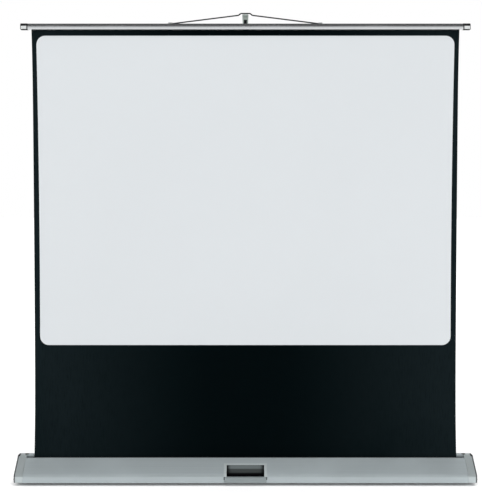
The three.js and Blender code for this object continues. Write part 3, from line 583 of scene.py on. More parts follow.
def carve(obj, *cutters, operation="DIFFERENCE"):
    """Cuts the cutters out of an object, or joins them to it."""
    for cutter in cutters:
        cut = obj.modifiers.new("cut", "BOOLEAN")
        cut.operation = operation
        cut.solver = "EXACT"
        cut.object = cutter
    depsgraph = bpy.context.evaluated_depsgraph_get()
    mesh = bpy.data.meshes.new_from_object(obj.evaluated_get(depsgraph))
    obj.modifiers.clear()
    obj.data = mesh
    for cutter in cutters:
        bpy.data.objects.remove(cutter)


def build_kept_solids():
    """Copies of rigid nodes with their edges rounded, standing for those nodes."""
    for finish, width, *nodes in KEPT_SOLIDS:
        for node in nodes:
            mesh = cleaned(frame["nodes"][node].data.copy(), width)
            settle(linked(node + "_detail", mesh), finish, node)
    rod = frame["nodes"]["fabric_keder_rod"]
    rod.data.materials.clear()
    rod.data.materials.append(BLACK_PLASTIC.material)


def block_shape(low, high, edge, radius=None):
    """A block with rounded upright corners and softened top and bottom edges."""
    radius = radius or 2 * edge
    places = ((low[0], low[1]), (high[0], low[1]), (high[0], high[1]), (low[0], high[1]))
    corners = [(*place, radius) for place in places]
    ends = quarter(edge, BLOCK_STEPS)
    levels = [(inset, low[2] + rise) for inset, rise in ends]
    levels += [(inset, high[2] - rise) for inset, rise in ends[::-1]]
    return stacked([(rounded(moved_in(corners, inset)), level) for inset, level in levels])


def upright(node):
    """The foot, the head and the radius of an upright round node, and the place of its axis."""
    low, high = box_of(node)
    middle = (low + high) / 2
    return low.z, high.z, (high.x - low.x) / 2, Matrix.Translation((middle.x, middle.y, 0))


# Camera, floor and light

def build_camera():
    data = bpy.data.cameras.new("camera")
    data.lens = CAMERA_LENS
    data.sensor_width = SENSOR_WIDTH
    data.clip_start = CAMERA_NEAR
    data.clip_end = CAMERA_FAR
    camera = linked("camera", data)
    camera.location = CAMERA_PLACE
    camera.rotation_euler = (CAMERA_PITCH, 0, 0)
    bpy.context.scene.camera = camera


def build_suns():
    for name, azimuth, elevation, energy in SUNS:
        data = bpy.data.lights.new(name, "SUN")
        data.energy = energy
        data.angle = SUN_SOFTNESS
        sun = linked(name, data)
        sun.visible_glossy = False
        sun.rotation_euler = (math.radians(90 - elevation), 0, math.radians(azimuth))


def build_world():
    """Plain ambient light. The camera sees white, and gloss sees it between a dim ceiling and dim sides."""
    world = bpy.data.worlds.new("studio")
    bpy.context.scene.world = world
    graph = Graph(world)
    graph.tree.nodes.clear()
    rays = graph.node("LightPath").outputs
    parts = graph.node("SeparateXYZ", {"Vector": graph.node("TexCoord").outputs["Generated"]}).outputs
    overhead = graph.span(parts["Z"], 1.0, CEILING_LEVEL, *CEILING_FADE)
    beside = graph.span(graph.math("ABSOLUTE", parts["X"]), 1.0, SIDE_LEVEL, *SIDE_FADE)
    levels = (AMBIENT_LEVEL, graph.math("MULTIPLY", overhead, beside), 1.0)
    lights = [graph.node("Background", {"Color": WHITE, "Strength": level}).outputs[0] for level in levels]
    shiny = graph.math("MAXIMUM", rays["Is Glossy Ray"], rays["Is Transmission Ray"])
    soft = graph.node("MixShader", {0: shiny, 1: lights[0], 2: lights[1]}).outputs[0]
    whole = graph.node("MixShader", {0: rays["Is Camera Ray"], 1: soft, 2: lights[2]}).outputs[0]
    graph.node("OutputWorld", {"Surface": whole})


def build_floor():
    half = FLOOR_SIZE / 2
    corners = [(-half, -half, 0), (half, -half, 0), (half, half, 0), (-half, half, 0)]
    floor = bare_object("floor", (corners, [(0, 1, 2, 3)]))
    material = bpy.data.materials.new("floor_white")
    graph = Graph(material)
    graph.tree.nodes.clear()
    seen = graph.node("LightPath").outputs["Is Camera Ray"]
    tone = graph.node("MapRange", {"Value": seen, "To Min": FLOOR_TONE, "To Max": 1.0}).outputs["Result"]
    diffuse = graph.node("BsdfDiffuse", {"Color": tone}).outputs[0]
    glow = graph.node("Emission", {"Strength": graph.math("MULTIPLY", seen, FLOOR_GLOW)}).outputs[0]
    both = graph.node("AddShader", {0: diffuse, 1: glow}).outputs[0]
    graph.node("OutputMaterial", {"Surface": both})
    floor.data.materials.append(material)


# Case: rear body and front cover, two extrusions

SLOPE_WALL = 2.0 * MM
BODY_WALL = 2.2 * MM
KNEE_RISE = 30.8 * MM
KNEE_RADIUS = 18 * MM
LIP_RADIUS = 1.5 * MM
LIP_DROP = 9 * MM
LIP_BAND = 9 * MM
GROOVE_WIDTH = 2.6 * MM
GROOVE_DEPTH = 1.4 * MM
REAR_CORNER = 3 * MM
REAR_GROOVES = 3
SCREW_BOSS = 8 * MM
COVER_HOOK = 9 * MM
WELL_MARGIN = 2.5 * MM
GRIP_GAP = 3 * MM
CUT_REACH = 60 * MM
STRIP_GROOVE = 7 * MM


@cache
def case_places():
    """The places that the case's sections share."""
    cover_low, cover_high = box_of("front_cover")
    body_low, body_high = box_of("case_body")
    return SimpleNamespace(
        front=cover_low.y, bottom=cover_low.z, knee=cover_low.z + KNEE_RISE,
        lip=cover_high.y, lip_top=cover_high.z, left=body_low.x, right=body_high.x,
        upstand=body_low.y, rear=body_high.y, rear_top=body_high.z,
    )


@cache
def slope():
    """The slope's foot at the knee, its ways upwards and outwards, and its length."""
    at = case_places()
    run = Vector((at.lip - at.front, at.lip_top - at.knee)).normalized()
    length = math.hypot(at.lip - at.front, at.lip_top - at.knee)
    knee = Vector((at.front, at.knee))
    return SimpleNamespace(knee=knee, run=run, out=run.orthogonal(), length=length)


def slope_point(along, out):
    return slope().knee + slope().run * along + slope().out * out


def groove_across(point, run, normal):
    """Four corners of a shallow V groove that starts at a point, cut against the normal."""
    shares = ((0, 0), (0.3, 1), (0.7, 1), (1, 0))
    return [(*(point + run * GROOVE_WIDTH * a - normal * GROOVE_DEPTH * d), 0) for a, d in shares]


def build_front_cover():
    at = case_places()
    run = slope().run
    inner_knee = (at.front + SLOPE_WALL, at.knee - SLOPE_WALL * (1 - run.y) / run.x)
    under_lip = at.lip_top - SLOPE_WALL * (1 + run.y) / run.x
    groove = groove_across(slope_point(slope().length - LIP_BAND, 0), run, slope().out)
    section = rounded([
        (at.front, at.bottom, LIP_RADIUS), (at.front + SLOPE_WALL, at.bottom, 0),
        (*inner_knee, KNEE_RADIUS - SLOPE_WALL), (at.lip - SLOPE_WALL, under_lip, 0),
        (at.lip - SLOPE_WALL, at.lip_top - LIP_DROP, 0), (at.lip, at.lip_top - LIP_DROP, 0),
        (at.lip, at.lip_top, LIP_RADIUS), *groove[::-1], (at.front, at.knee, KNEE_RADIUS),
    ])
    cover = bare_object("front_cover_detail", extruded(section, at.left, at.right))
    grip_high = box_of("handle_grip")[1]
    outside = at.front - CUT_REACH
    inside = at.front + CUT_REACH
    well = [
        (outside, grip_high.z), (inside, grip_high.z),
        slope_point(OPENING_REACH + WELL_MARGIN, -CUT_REACH),
        slope_point(OPENING_REACH + WELL_MARGIN, CUT_REACH),
        (outside, at.knee + CUT_REACH),
    ]
    bay = [
        (outside, at.bottom - CUT_REACH), (inside, at.bottom - CUT_REACH),
        (inside, grip_high.z + FIT), (outside, grip_high.z + FIT),
    ]
    cuts = ((well, OPENING_HALF + WELL_MARGIN), (bay, grip_high.x + GRIP_GAP))
    carve(cover, *[bare_object("cut", extruded(corners, -half, half)) for corners, half in cuts])
    settle(cover, CASE_METAL, "front_cover")


def build_case_body():
    at = case_places()
    top = at.rear_top
    floor = at.bottom + BODY_WALL
    ceiling = top - BODY_WALL
    rear = at.rear - BODY_WALL
    boss = rear - SCREW_BOSS
    slot_rear = box_of("slot_felt_rear")[1].y
    grooves = []
    for height in spread(at.bottom, top, REAR_GROOVES + 1)[1:-1]:
        grooves += groove_across(Vector((at.rear, height)), Vector((0, 1)), Vector((1, 0)))
    strip = Vector((at.rear - STRIP_GROOVE, top))
    section = rounded([
        (at.upstand, at.bottom, 0), (at.rear, at.bottom, REAR_CORNER), *grooves,
        (at.rear, top, REAR_CORNER), *groove_across(strip, Vector((-1, 0)), Vector((0, 1))),
        (slot_rear, top, LIP_RADIUS), (slot_rear, top - LIP_DROP, 0),
        (slot_rear + BODY_WALL, top - LIP_DROP, 0), (slot_rear + BODY_WALL, ceiling, 0),
        (boss, ceiling, 0), (boss, ceiling - SCREW_BOSS, 0), (rear, ceiling - SCREW_BOSS, 0),
        (rear, floor + SCREW_BOSS, 0), (boss, floor + SCREW_BOSS, 0), (boss, floor, 0),
        (at.upstand + BODY_WALL, floor, 0), (at.upstand + BODY_WALL, floor + COVER_HOOK, 0),
        (at.upstand, floor + COVER_HOOK, 0),
    ])
    piece(extruded(section, at.left, at.right), CASE_METAL, "case_body")


# End caps with a shadow groove against the case, a sunk panel in their end face and a rubber corner

CAP_ROUND = 5 * MM
CAP_GROOVE = 1.6 * MM
CAP_GROOVE_DEPTH = 1.3 * MM
CAP_PANEL = 10.5 * MM
CAP_PANEL_DEPTH = 0.9 * MM
CAP_CORNER = 2.5 * MM
CAP_SMOOTHING = math.radians(40)
SCREW_SHANK = 2 * MM
SOCKET_SHARE = 0.42
CORNER_REACH = 10 * MM
CORNER_DOWN = 7 * MM
CORNER_BACK = 20 * MM
CORNER_PROUD = 0.8 * MM
CORNER_SUNK = 1.6 * MM
CORNER_BEND = 3 * MM
CORNER_SMOOTHING = math.radians(50)


def cap_corners():
    at = case_places()
    crest = at.front + (at.rear_top - at.knee) * slope().run.x / slope().run.y
    return [
        (at.front, at.bottom, CAP_CORNER), (at.rear, at.bottom, CAP_CORNER),
        (at.rear, at.rear_top, CAP_CORNER), (crest, at.rear_top, CAP_CORNER),
        (at.front, at.knee, KNEE_RADIUS),
    ]


def end_cap_shape(side):
    start, end = [corner.x for corner in box_of("end_cap_right")]
    stations = [
        (start, CAP_GROOVE_DEPTH), (start + CAP_GROOVE, CAP_GROOVE_DEPTH),
        (start + CAP_GROOVE, FINE_EDGE), (start + CAP_GROOVE + FINE_EDGE, 0),
    ]
    stations += [(end - back, inset) for back, inset in quarter(CAP_ROUND)]
    stations += [
        (end, CAP_PANEL), (end - CAP_PANEL_DEPTH * 0.2, CAP_PANEL + THIN_EDGE),
        (end - CAP_PANEL_DEPTH, CAP_PANEL + EDGE_ROUND),
    ]
    corners = cap_corners()
    return stacked([(rounded(moved_in(corners, inset)), side * place) for place, inset in stations], "X")


def crest_path(inset):
    """The end cap's outline over its crest, moved in by an inset."""
    run = slope().run
    crest = Vector(moved_in(cap_corners(), inset)[3][:2])
    curve = shoulder(crest - run * CORNER_BEND, crest, crest + Vector((CORNER_BEND, 0)), ARC_STEPS)
    return [crest - run * CORNER_DOWN, *curve, crest + Vector((CORNER_BACK, 0))]


def corner_rubber_shape(side):
    """Black rubber let into the outer top edge of an end cap."""
    outer = box_of("end_cap_right")[1].x
    near = outer - CORNER_REACH
    stations = [(near, 0, 0.4), (near + CORNER_PROUD, 0, 1)]
    stations += [(outer - back, inset, 1) for back, inset in quarter(CAP_ROUND)[:-1]]
    rings = []
    for place, inset, share in stations:
        band = crest_path(inset - CORNER_PROUD * share) + crest_path(inset + CORNER_SUNK)[::-1]
        rings.append((band, side * place))
    return stacked(rings, "X")


def build_screw(node, direction, shank):
    """A button-head screw with a hexagonal socket. Its shank reaches into what it holds."""
    low, high = box_of(node)
    way = Vector(direction)
    height = abs((high - low).dot(way))
    radius = max(high.z - low.z, high.y - low.y) / 2
    seat = (low + high) / 2 - way * height / 2
    outline = ((0.96, 0), (1, 0.18), (0.98, 0.45), (0.88, 0.74), (0.7, 0.94), (0.56, 1))
    rings = [(circle(radius * 0.5), -shank), (circle(radius * 0.5), 0)]
    rings += [(circle(radius * share), height * rise) for share, rise in outline]
    socket = radius * SOCKET_SHARE
    rings += [(hexagon(socket), height), (hexagon(socket * 0.97), height * 0.25)]
    piece(moved(stacked(rings), facing(way, seat)), FASTENER, node)


def build_end_caps():
    for side, label in SIDES:
        piece(end_cap_shape(side), CAP_PLASTIC, "end_cap_" + label, angle=CAP_SMOOTHING)
        for level in ("upper", "lower"):
            build_screw(f"end_cap_screw_{level}_{label}", (side, 0, 0), CAP_PANEL_DEPTH + SCREW_SHANK)
        bumper = "bar_bumper_" + label
        piece(block_shape(*box_of(bumper), EDGE_ROUND), BLACK_RUBBER, bumper)
        rubber = corner_rubber_shape(side)
        piece(rubber, BLACK_RUBBER, name="corner_rubber_" + label, body="case", angle=CORNER_SMOOTHING)


# Felt strips with a fibrous top edge

FELT_STEP = 4 * MM
FELT_FUZZ = 0.25 * MM


def build_felt():
    for node in ("slot_felt_front", "slot_felt_rear"):
        low, high = box_of(node)
        middle = (low + high) / 2
        half = (high.y - low.y) / 2
        section = [
            (-half, low.z), (half, low.z), (half, middle.z), (half, high.z),
            (0, high.z), (-half, high.z), (-half, middle.z),
        ]
        rings = []
        for x in spread(low.x, high.x, int((high.x - low.x) / FELT_STEP)):
            ring = []
            for across, up in section:
                fuzz = noise.noise(Vector((x * 130, across * 900, up * 300))) * FELT_FUZZ
                drop = abs(fuzz) if up == high.z else 0
                ring.append(Vector((x, middle.y + across * 0.86 + fuzz * 0.5, up - drop)))
            rings.append(ring)
        piece(loft(rings), DARK_FELT, node)


# Roller with its wound cloth and its spring, inside the case

ROLL_TURNS = 2.25
ROLL_STEPS = 60
ROLL_SHEET = 0.38 * MM
ROLLER_WALL = 1.2 * MM
SPRING_PITCH = 6.5 * MM
SPRING_WIRE = 1.2 * MM
SPRING_STEPS = 16
SPRING_SIDES = 8


def roller_axis():
    low, high = box_of("roller_tube")
    return low.x, high.x, (low.y + high.y) / 2, (low.z + high.z) / 2, (high.z - low.z) / 2


def wound_cloth_shape():
    """The last turns of cloth: one spiral sheet, thin and unbroken."""
    low, high = box_of("fabric_roll")
    _, _, y, z, inner = roller_axis()
    outer = (high.z - low.z) / 2
    start = inner + FIT / 2 + ROLL_SHEET
    rise = (outer - start) / (ROLL_TURNS - 0.25)
    turns = spread(0, 2 * math.pi * ROLL_TURNS, int(ROLL_TURNS * ROLL_STEPS))
    radii = [min(start + rise * turn / (2 * math.pi), outer) for turn in turns]

    def curve(inset):
        return [(y + (r - inset) * math.cos(t), z + (r - inset) * math.sin(t)) for r, t in zip(radii, turns)]

    section = curve(0) + curve(ROLL_SHEET)[::-1]
    size = len(section)
    points = [Vector((x, *point)) for x in (low.x, high.x) for point in section]
    faces = [(s, (s + 1) % size, size + (s + 1) % size, size + s) for s in range(size)]
    for step in range(len(radii) - 1):
        under = size - 1 - step
        faces.append((step, step + 1, under - 1, under))
        faces.append((size + step, size + under, size + under - 1, size + step + 1))
    length = sum(2 * math.pi / ROLL_STEPS * r for r in radii[1:])
    return (points, faces), high.x - low.x, length


def build_roller():
    left, right, y, z, radius = roller_axis()
    profile = tube_profile(radius - ROLLER_WALL, radius, left, right)
    piece(moved(turned(profile, closed=True), facing((1, 0, 0), (0, y, z))), MAST_METAL, "roller_tube")
    shape, width, length = wound_cloth_shape()
    roll = piece(shape, BLACK_CLOTH, "fabric_roll", "fabric_roll_turns")
    low, high = box_of("roller_spring")
    coil = (high.z - low.z) / 2 - SPRING_WIRE
    turns = int((high.x - low.x - 2 * SPRING_WIRE) / SPRING_PITCH)
    path = []
    for step in range(turns * SPRING_STEPS + 1):
        turn = 2 * math.pi * step / SPRING_STEPS
        x = low.x + SPRING_WIRE + SPRING_PITCH * step / SPRING_STEPS
        path.append(Vector((x, y + coil * math.cos(turn), z + coil * math.sin(turn))))
    piece(swept(path, SPRING_WIRE, SPRING_SIDES), BRACKET_STEEL, "roller_spring", "roller_spring_coil")


# Cloth and the picture on it

CLOTH_COLUMNS = 96
CLOTH_ROWS = 110
CURL_WIDTH = 26 * MM
CURL_DEPTH = 2.2 * MM
WAVE_DEPTH = 0.9 * MM
CLOTH_THICKNESS = 0.5 * MM
PICTURE_THICKNESS = 0.3 * MM
CORNER_RADIUS = 34 * MM
CLOTH_DRAW_IN = 3.0 * MM
CLOTH_FLARE = 3.5 * MM
PICTURE_DRAW_IN = 6.5 * MM
PICTURE_MARGIN = 18 * MM
PICTURE_TRIM = 1.2 * MM
PICTURE_SUNK = 0.05 * MM
SLOT_ROW = 12 * MM


def height_share(height):
    """0 at the slot, 1 at the bar."""
    slot = case_places().lip_top
    return min(max((height - slot) / (box_of("top_bar")[0].z - slot), 0), 1)


def cloth_half_width(height):
    """Drawn in along most of its height, and a little wider again towards the slot."""
    share = height_share(height)
    inward = CLOTH_DRAW_IN * (1 - (2 * share - 1) ** 6)
    return box_of("screen_fabric")[1].x - inward + CLOTH_FLARE * (1 - share) ** 4


def cloth_depth(x, height):
    """How far the hanging cloth stands behind its flat plane: curled side edges and a faint wave."""
    share = height_share(height)
    free = 4 * share * (1 - share)
    edge = cloth_half_width(height) - abs(x)
    curl = CURL_DEPTH * max(1 - edge / CURL_WIDTH, 0) ** 2 * min(free * 2.5, 1)
    wave = noise.noise(Vector((x * 2.1, 0, height * 0.9)))
    wave += 0.4 * noise.noise(Vector((x * 6.3, 4.0, height * 1.7)))
    return curl + WAVE_DEPTH * wave * min(free * 1.6, 1)


def sheet_shape(rows, width_at, front_gap, thickness):
    """A thin closed sheet of rows. front_gap is how far its front lies before the cloth's middle plane."""
    low, high = box_of("screen_fabric")
    middle = (low.y + high.y) / 2
    columns = CLOTH_COLUMNS
    fronts = []
    backs = []
    for height, column in product(rows, range(columns + 1)):
        share = -math.cos(math.pi * column / columns)
        x = width_at(height) * (0.35 * share + 0.65 * (2 * column / columns - 1))
        front = middle + cloth_depth(x, height) - front_gap
        fronts.append(Vector((x, front, height)))
        backs.append(Vector((x, front + thickness, height)))
    across = columns + 1
    behind = len(fronts)
    last = len(rows) - 1

    def cells(some_rows, some_columns):
        return [row * across + column for row, column in product(some_rows, some_columns)]

    whole = cells(range(last), range(columns))
    faces = [(a, a + 1, a + across + 1, a + across) for a in whole]
    faces += [(behind + a, behind + a + across, behind + a + across + 1, behind + a + 1) for a in whole]
    faces += [(a, a + across, behind + a + across, behind + a) for a in cells(range(last), (0, columns))]
    faces += [(a, a + 1, behind + a + 1, behind + a) for a in cells((0, last), range(columns))]
    return fronts + backs, faces


def picture_rows():
    """Heights of the picture's rows, closer together where its corners are round."""
    low, high = box_of("picture_surface")
    bottom = low.z + PICTURE_TRIM
    top = high.z - PICTURE_TRIM
    rises = [rise for _, rise in quarter(CORNER_RADIUS)[:-1]]
    straight = spread(bottom + CORNER_RADIUS, top - CORNER_RADIUS, CLOTH_ROWS)
    return [bottom + rise for rise in rises] + straight + [top - rise for rise in rises[::-1]]


def picture_half_width(height):
    low, high = box_of("picture_surface")
    share = height_share(height)
    inward = PICTURE_DRAW_IN * 4 * share * (1 - share)
    half = box_of("screen_fabric")[1].x - PICTURE_MARGIN - inward
    from_edge = min(height - low.z, high.z - height) - PICTURE_TRIM
    rise = max(CORNER_RADIUS - from_edge, 0)
    return half - CORNER_RADIUS + math.sqrt(max(CORNER_RADIUS ** 2 - rise ** 2, 0))


def build_cloth():
    low, high = box_of("screen_fabric")
    slot = case_places().lip_top
    rows = [low.z, slot - SLOT_ROW, *spread(slot, high.z, CLOTH_ROWS)]
    shape = sheet_shape(rows, cloth_half_width, CLOTH_THICKNESS / 2, CLOTH_THICKNESS)
    cloth = piece(shape, BLACK_CLOTH, "screen_fabric", "screen_cloth")
    gap = CLOTH_THICKNESS / 2 + PICTURE_THICKNESS
    shape = sheet_shape(picture_rows(), picture_half_width, gap, PICTURE_THICKNESS - PICTURE_SUNK)
    picture = piece(shape, WHITE_COATING, "picture_surface", "picture_coating")
    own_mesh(cloth)
    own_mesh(picture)


# Top bar and its caps, each a light core in a black sleeve

BAR_FLAT = 6.5 * MM
BAR_TOP_HALF = 6.5 * MM
PAD_SPLIT = 9.5 * MM
SLEEVE_ROUND = 2.2 * MM
SLEEVE_STEPS = 5
SLEEVE_JOINT = 3.4 * MM
SLEEVE_END = 1.6 * MM
SLEEVE_FOOT = 1.3 * MM
KEDER_GROOVE = 8 * MM
KEDER_SLOT = 2 * MM
BAR_WALL = 1.8 * MM
BAR_EDGE = 0.8 * MM
CORE_SUNK = 0.5 * MM


def bar_outline(low, high, proud=0):
    """The bar's outer section in (y, z), from the middle of its foot round its rear to its front."""
    middle = (low.y + high.y) / 2
    half = (high.y - low.y) / 2 - proud
    bottom, top = low.z + proud, high.z - proud
    near = BAR_EDGE * 0.3
    crest = Vector((BAR_TOP_HALF - proud, top))
    rear = [
        (half - BAR_EDGE, bottom), (half - near, bottom + near), (half, bottom + BAR_EDGE),
        *shoulder(Vector((half, low.z + BAR_FLAT)), Vector((half, top)), crest),
    ]
    return [(middle + y, z) for y, z in rear] + [(middle - y, z) for y, z in rear[::-1]]


def build_top_bar():
    low, high = box_of("top_bar")
    middle = (low.y + high.y) / 2
    slot = KEDER_SLOT / 2
    groove = KEDER_GROOVE / 2
    wall = low.z + BAR_WALL
    keyhole = [(slot, low.z), (slot, wall), (groove, wall), (groove, wall + KEDER_GROOVE)]
    section = [(middle - y, z) for y, z in keyhole] + [(middle + y, z) for y, z in keyhole[::-1]]
    section += bar_outline(low, high)
    piece(extruded(section, low.x, high.x), BAR_METAL, "top_bar")
    for side, label in SIDES:
        build_bar_cap(side, label)


def build_bar_cap(side, label):
    """A light core that shows through the windows of a black sleeve."""
    node = "top_bar_cap_" + label
    low, high = box_of(node)
    inner, outer = (low.x, high.x) if side > 0 else (high.x, low.x)
    stations = [(inner, EDGE_ROUND), (inner + side * EDGE_ROUND, 0)]
    stations += [(outer - side * back, inset) for back, inset in quarter(SLEEVE_ROUND, SLEEVE_STEPS)]
    rings = [(bar_outline(low, high, inset), x) for x, inset in stations]
    sleeve = bare_object("bar_cap_sleeve_" + label, stacked(rings, "X"))
    near, far = sorted((inner + side * SLEEVE_JOINT, outer - side * SLEEVE_END))
    bottom = low.z + SLEEVE_FOOT
    top = high.z - PAD_SPLIT
    window = block_shape((near, low.y - CUT_REACH, bottom), (far, high.y + CUT_REACH, top), EDGE_ROUND)
    carve(sleeve, bare_object("window", window))
    settle(sleeve, BLACK_RUBBER, body="top_bar")
    core_low = (near + FIT, low.y + CORE_SUNK, bottom + FIT)
    core_high = (far - FIT, high.y - CORE_SUNK, top - FIT)
    piece(block_shape(core_low, core_high, EDGE_ROUND), CORE_PLASTIC, node)


# Wire bail with bent corners, and the screws of its clips

BEND_RADIUS = 9 * MM
BAIL_FLAT_HALF = 18 * MM
BAIL_SHOULDER_HALF = 26.6 * MM
BAIL_SHOULDER_DROP = 7 * MM
BAIL_PIN = 12 * MM
CLIP_SCREW_SHANK = 1.5 * MM


def bent_path(points):
    """The polyline with each inner corner turned into an arc."""
    path = [points[0]]
    for before, here, after in zip(points, points[1:], points[2:]):
        back = (before - here).normalized()
        ahead = (after - here).normalized()
        half = back.angle(ahead) / 2
        shorter = min((before - here).length, (after - here).length)
        reach = min(BEND_RADIUS / math.tan(half), shorter * 0.45)
        path += shoulder(here + back * reach, here, here + ahead * reach)
    return [*path, points[-1]]


def build_bail():
    low, high = box_of("wire_bail")
    wire = (high.y - low.y) / 2
    y = (low.y + high.y) / 2
    axis = low.z + wire
    top = high.z - wire
    half = [
        (BAIL_FLAT_HALF, top), (BAIL_SHOULDER_HALF, top - BAIL_SHOULDER_DROP),
        (high.x - BAIL_PIN, axis), (high.x, axis),
    ]
    corners = [Vector((-x, y, z)) for x, z in half[::-1]] + [Vector((x, y, z)) for x, z in half]
    piece(swept(bent_path(corners), wire, WIRE_SIDES), WIRE_STEEL, "wire_bail", "wire_bail_bent")
    for _, label in SIDES:
        build_screw("bail_clip_screw_" + label, (0, 1, 0), CLIP_SCREW_SHANK)


# Mast: screws, pivot, tubes, collars and head

OUTER_WALL = 1.6 * MM
MIDDLE_WALL = 1.4 * MM
INNER_WALL = 1.5 * MM
BRACKET_SCREW_SHANK = 1 * MM
COLLAR_GRIPS = 10
COLLAR_STEPS = 10 * COLLAR_GRIPS
COLLAR_GRIP_DEPTH = 1.0 * MM
COLLAR_CHAMFER = 1.2 * MM
COLLAR_BAND = 4 * MM
COLLAR_FADE = 2 * MM
COLLAR_TOP = 1.4 * MM
COLLAR_OVERLAP = 12 * MM
COLLAR_BORE_EDGE = 0.6 * MM
PIVOT_SHANK = 4 * MM
PIVOT_HEAD_LENGTH = 3.6 * MM
PIVOT_HEAD_SIDE = 2 * MM
PIVOT_CHAMFER = 0.6 * MM
NUT_STEPS = 48
NUT_CHAMFER = 0.7 * MM
HEAD_FOOT_HALF = 10.25 * MM
HEAD_FRONT_ROUND = 2.2 * MM
HEAD_REAR_ROUND = 3.2 * MM
HEAD_EDGE = 0.8 * MM
HEAD_LEDGE_HALF = 9 * MM
HEAD_LEDGE_THICK = 5 * MM
HEAD_LEDGE_SEAT = 6 * MM
HEAD_LEDGE_REACH = 9.5 * MM
HEAD_WINDOW_HALF = 6.2 * MM
HEAD_WINDOW_DROP = 19.5 * MM
HEAD_WINDOW_DEPTH = 4.8 * MM
HEAD_LINER = 0.8 * MM


def build_tube(node, wall, finish):
    foot, head, radius, matrix = upright(node)
    shape = turned(tube_profile(radius - wall, radius, foot, head, EDGE_ROUND), closed=True)
    piece(moved(shape, matrix), finish, node)


def collar_ring(radius, depth):
    """A circle with shallow grips pressed into it."""
    steps = COLLAR_STEPS
    return round_section(lambda turn: radius - max(math.cos(COLLAR_GRIPS * turn), 0) ** 0.7 * depth, steps)


def build_collar(node, lower_tube, upper_tube):
    foot, head, radius, matrix = upright(node)
    wide = upright(lower_tube)[2] + FIT
    narrow = upright(upper_tube)[2] + FIT
    step = foot + COLLAR_OVERLAP
    grips_low = foot + COLLAR_BAND
    grips_high = head - COLLAR_BAND
    deep = COLLAR_GRIP_DEPTH
    profile = [
        (radius - COLLAR_CHAMFER, 0, foot), (radius, 0, foot + COLLAR_CHAMFER), (radius, 0, grips_low),
        (radius, deep, grips_low + COLLAR_FADE), (radius, deep, grips_high - 2 * COLLAR_FADE),
        (radius, 0, grips_high - COLLAR_FADE), (radius, 0, grips_high), (radius - COLLAR_TOP, 0, head),
        (narrow + COLLAR_BORE_EDGE, 0, head), (narrow, 0, head - COLLAR_BORE_EDGE),
        (narrow, 0, step), (wide, 0, step), (wide, 0, foot),
    ]
    rings = [(collar_ring(size, depth), place) for size, depth, place in profile]
    piece(moved(stacked(rings, closed=True), matrix), BLACK_PLASTIC, node)


def lying(node):
    """The length and the radius of a round node that lies along Y, and the place of its front end."""
    low, high = box_of(node)
    middle = (low + high) / 2
    return high.y - low.y, (high.z - low.z) / 2, facing((0, 1, 0), (middle.x, low.y, middle.z))


def build_pivot():
    length, head, matrix = lying("mast_pivot_pin")
    shank = PIVOT_SHANK
    seat = PIVOT_HEAD_LENGTH
    profile = [
        (0, length), (shank - PIVOT_CHAMFER, length), (shank, length - PIVOT_CHAMFER),
        (shank, seat), (head - THIN_EDGE, seat), (head, seat - EDGE_ROUND),
        (head, seat - PIVOT_HEAD_SIDE), (head * 0.86, EDGE_ROUND), (head * 0.55, 0), (0, 0),
    ]
    piece(moved(turned(profile, SMALL_STEPS), matrix), FASTENER, "mast_pivot_pin")
    thick, half, matrix = lying("mast_pivot_nut")
    apothem = half * 0.98 * math.cos(math.pi / 6)
    six = hexagon(apothem, NUT_STEPS)
    face = circle(apothem * 0.98, NUT_STEPS)
    hole = circle(shank + FIT, NUT_STEPS)
    mouth = circle(shank + FIT + EDGE_ROUND, NUT_STEPS)
    rings = [
        (face, 0), (six, NUT_CHAMFER), (six, thick - NUT_CHAMFER), (face, thick),
        (mouth, thick), (hole, thick - EDGE_ROUND), (hole, EDGE_ROUND), (mouth, 0),
    ]
    piece(moved(stacked(rings, closed=True), matrix), FASTENER, "mast_pivot_nut")


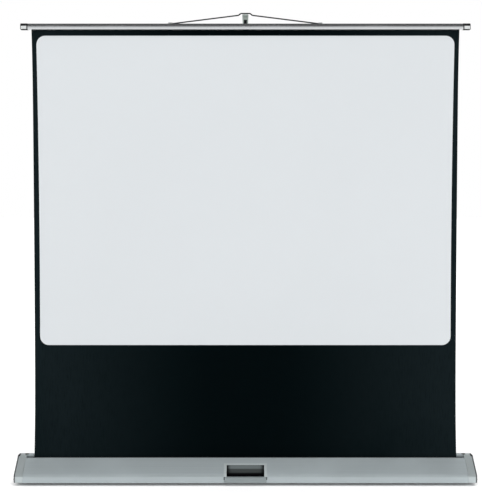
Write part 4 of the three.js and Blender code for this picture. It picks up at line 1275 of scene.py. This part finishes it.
def build_mast_head():
    """A tapered head whose ledge the bail's raised middle rests on, with a window in its front that a
    near-black liner fills with painted shade.
    """
    low, high = box_of("mast_head")
    front = low.y + HEAD_LEDGE_REACH
    rings = []
    for share, edge in ((0, HEAD_EDGE), (0.03, 0), (0.97, 0), (1, HEAD_EDGE)):
        half = HEAD_FOOT_HALF + (high.x - HEAD_FOOT_HALF) * share - edge
        corners = [
            (-half, front + edge, HEAD_FRONT_ROUND), (half, front + edge, HEAD_FRONT_ROUND),
            (half, high.y - edge, HEAD_REAR_ROUND), (-half, high.y - edge, HEAD_REAR_ROUND),
        ]
        rings.append((rounded(corners), low.z + (high.z - low.z) * share))
    head = bare_object("mast_head_detail", stacked(rings))
    window_top = high.z - HEAD_WINDOW_DROP
    back = front + HEAD_WINDOW_DEPTH
    window_low = (-HEAD_WINDOW_HALF, low.y, low.z - HEAD_WINDOW_DROP)
    window = block_shape(window_low, (HEAD_WINDOW_HALF, back, window_top), HEAD_EDGE)
    carve(head, bare_object("head_window", window))
    ledge_low = (-HEAD_LEDGE_HALF, low.y, high.z - HEAD_LEDGE_THICK)
    ledge_high = (HEAD_LEDGE_HALF, front + HEAD_LEDGE_SEAT, high.z - FIT / 3)
    ledge = block_shape(ledge_low, ledge_high, HEAD_EDGE)
    carve(head, bare_object("head_ledge", ledge), operation="UNION")
    settle(head, HEAD_PLASTIC, "mast_head")
    # Painted shade: a near-black liner sheet at the back of the window stands for the recess's shade.
    liner_low = (-HEAD_WINDOW_HALF + FIT, back - HEAD_LINER, low.z + HEAD_EDGE)
    liner_high = (HEAD_WINDOW_HALF - FIT, back - FIT, window_top - HEAD_EDGE)
    liner = block_shape(liner_low, liner_high, FIT / 2)
    piece(liner, SHADE_LINER, name="mast_head_liner", body="mast_inner")


def build_mast():
    for _, label in SIDES:
        build_screw("mast_bracket_screw_" + label, (0, 1, 0), BRACKET_SCREW_SHANK)
    build_pivot()
    build_tube("mast_outer_tube", OUTER_WALL, BLACK_PAINT)
    build_tube("mast_middle_tube", MIDDLE_WALL, MAST_METAL)
    build_tube("mast_inner_tube", INNER_WALL, BLACK_PAINT)
    build_collar("lower_lock_collar", "mast_outer_tube", "mast_middle_tube")
    build_collar("upper_lock_collar", "mast_middle_tube", "mast_inner_tube")
    build_mast_head()


# Feet and pads under the case

FOOT_EDGE = 1.2 * MM
PAD_ROUND = 6 * MM
PAD_EDGE = 0.8 * MM


def build_feet():
    for _, label in SIDES:
        bar = "foot_bar_" + label
        low, high = box_of(bar)
        piece(block_shape(low, high, FOOT_EDGE, (high.y - low.y) / 2 - TINY), BLACK_PAINT, bar)
        pad = "rubber_pad_" + label
        piece(block_shape(*box_of(pad), PAD_EDGE, PAD_ROUND), BLACK_RUBBER, pad)


bpy.context.scene.view_settings.view_transform = "Standard"
build_camera()
build_world()
build_floor()
build_suns()
build_case_body()
build_front_cover()
build_end_caps()
build_felt()
build_kept_solids()
build_roller()
build_cloth()
build_top_bar()
build_bail()
build_mast()
build_feet()
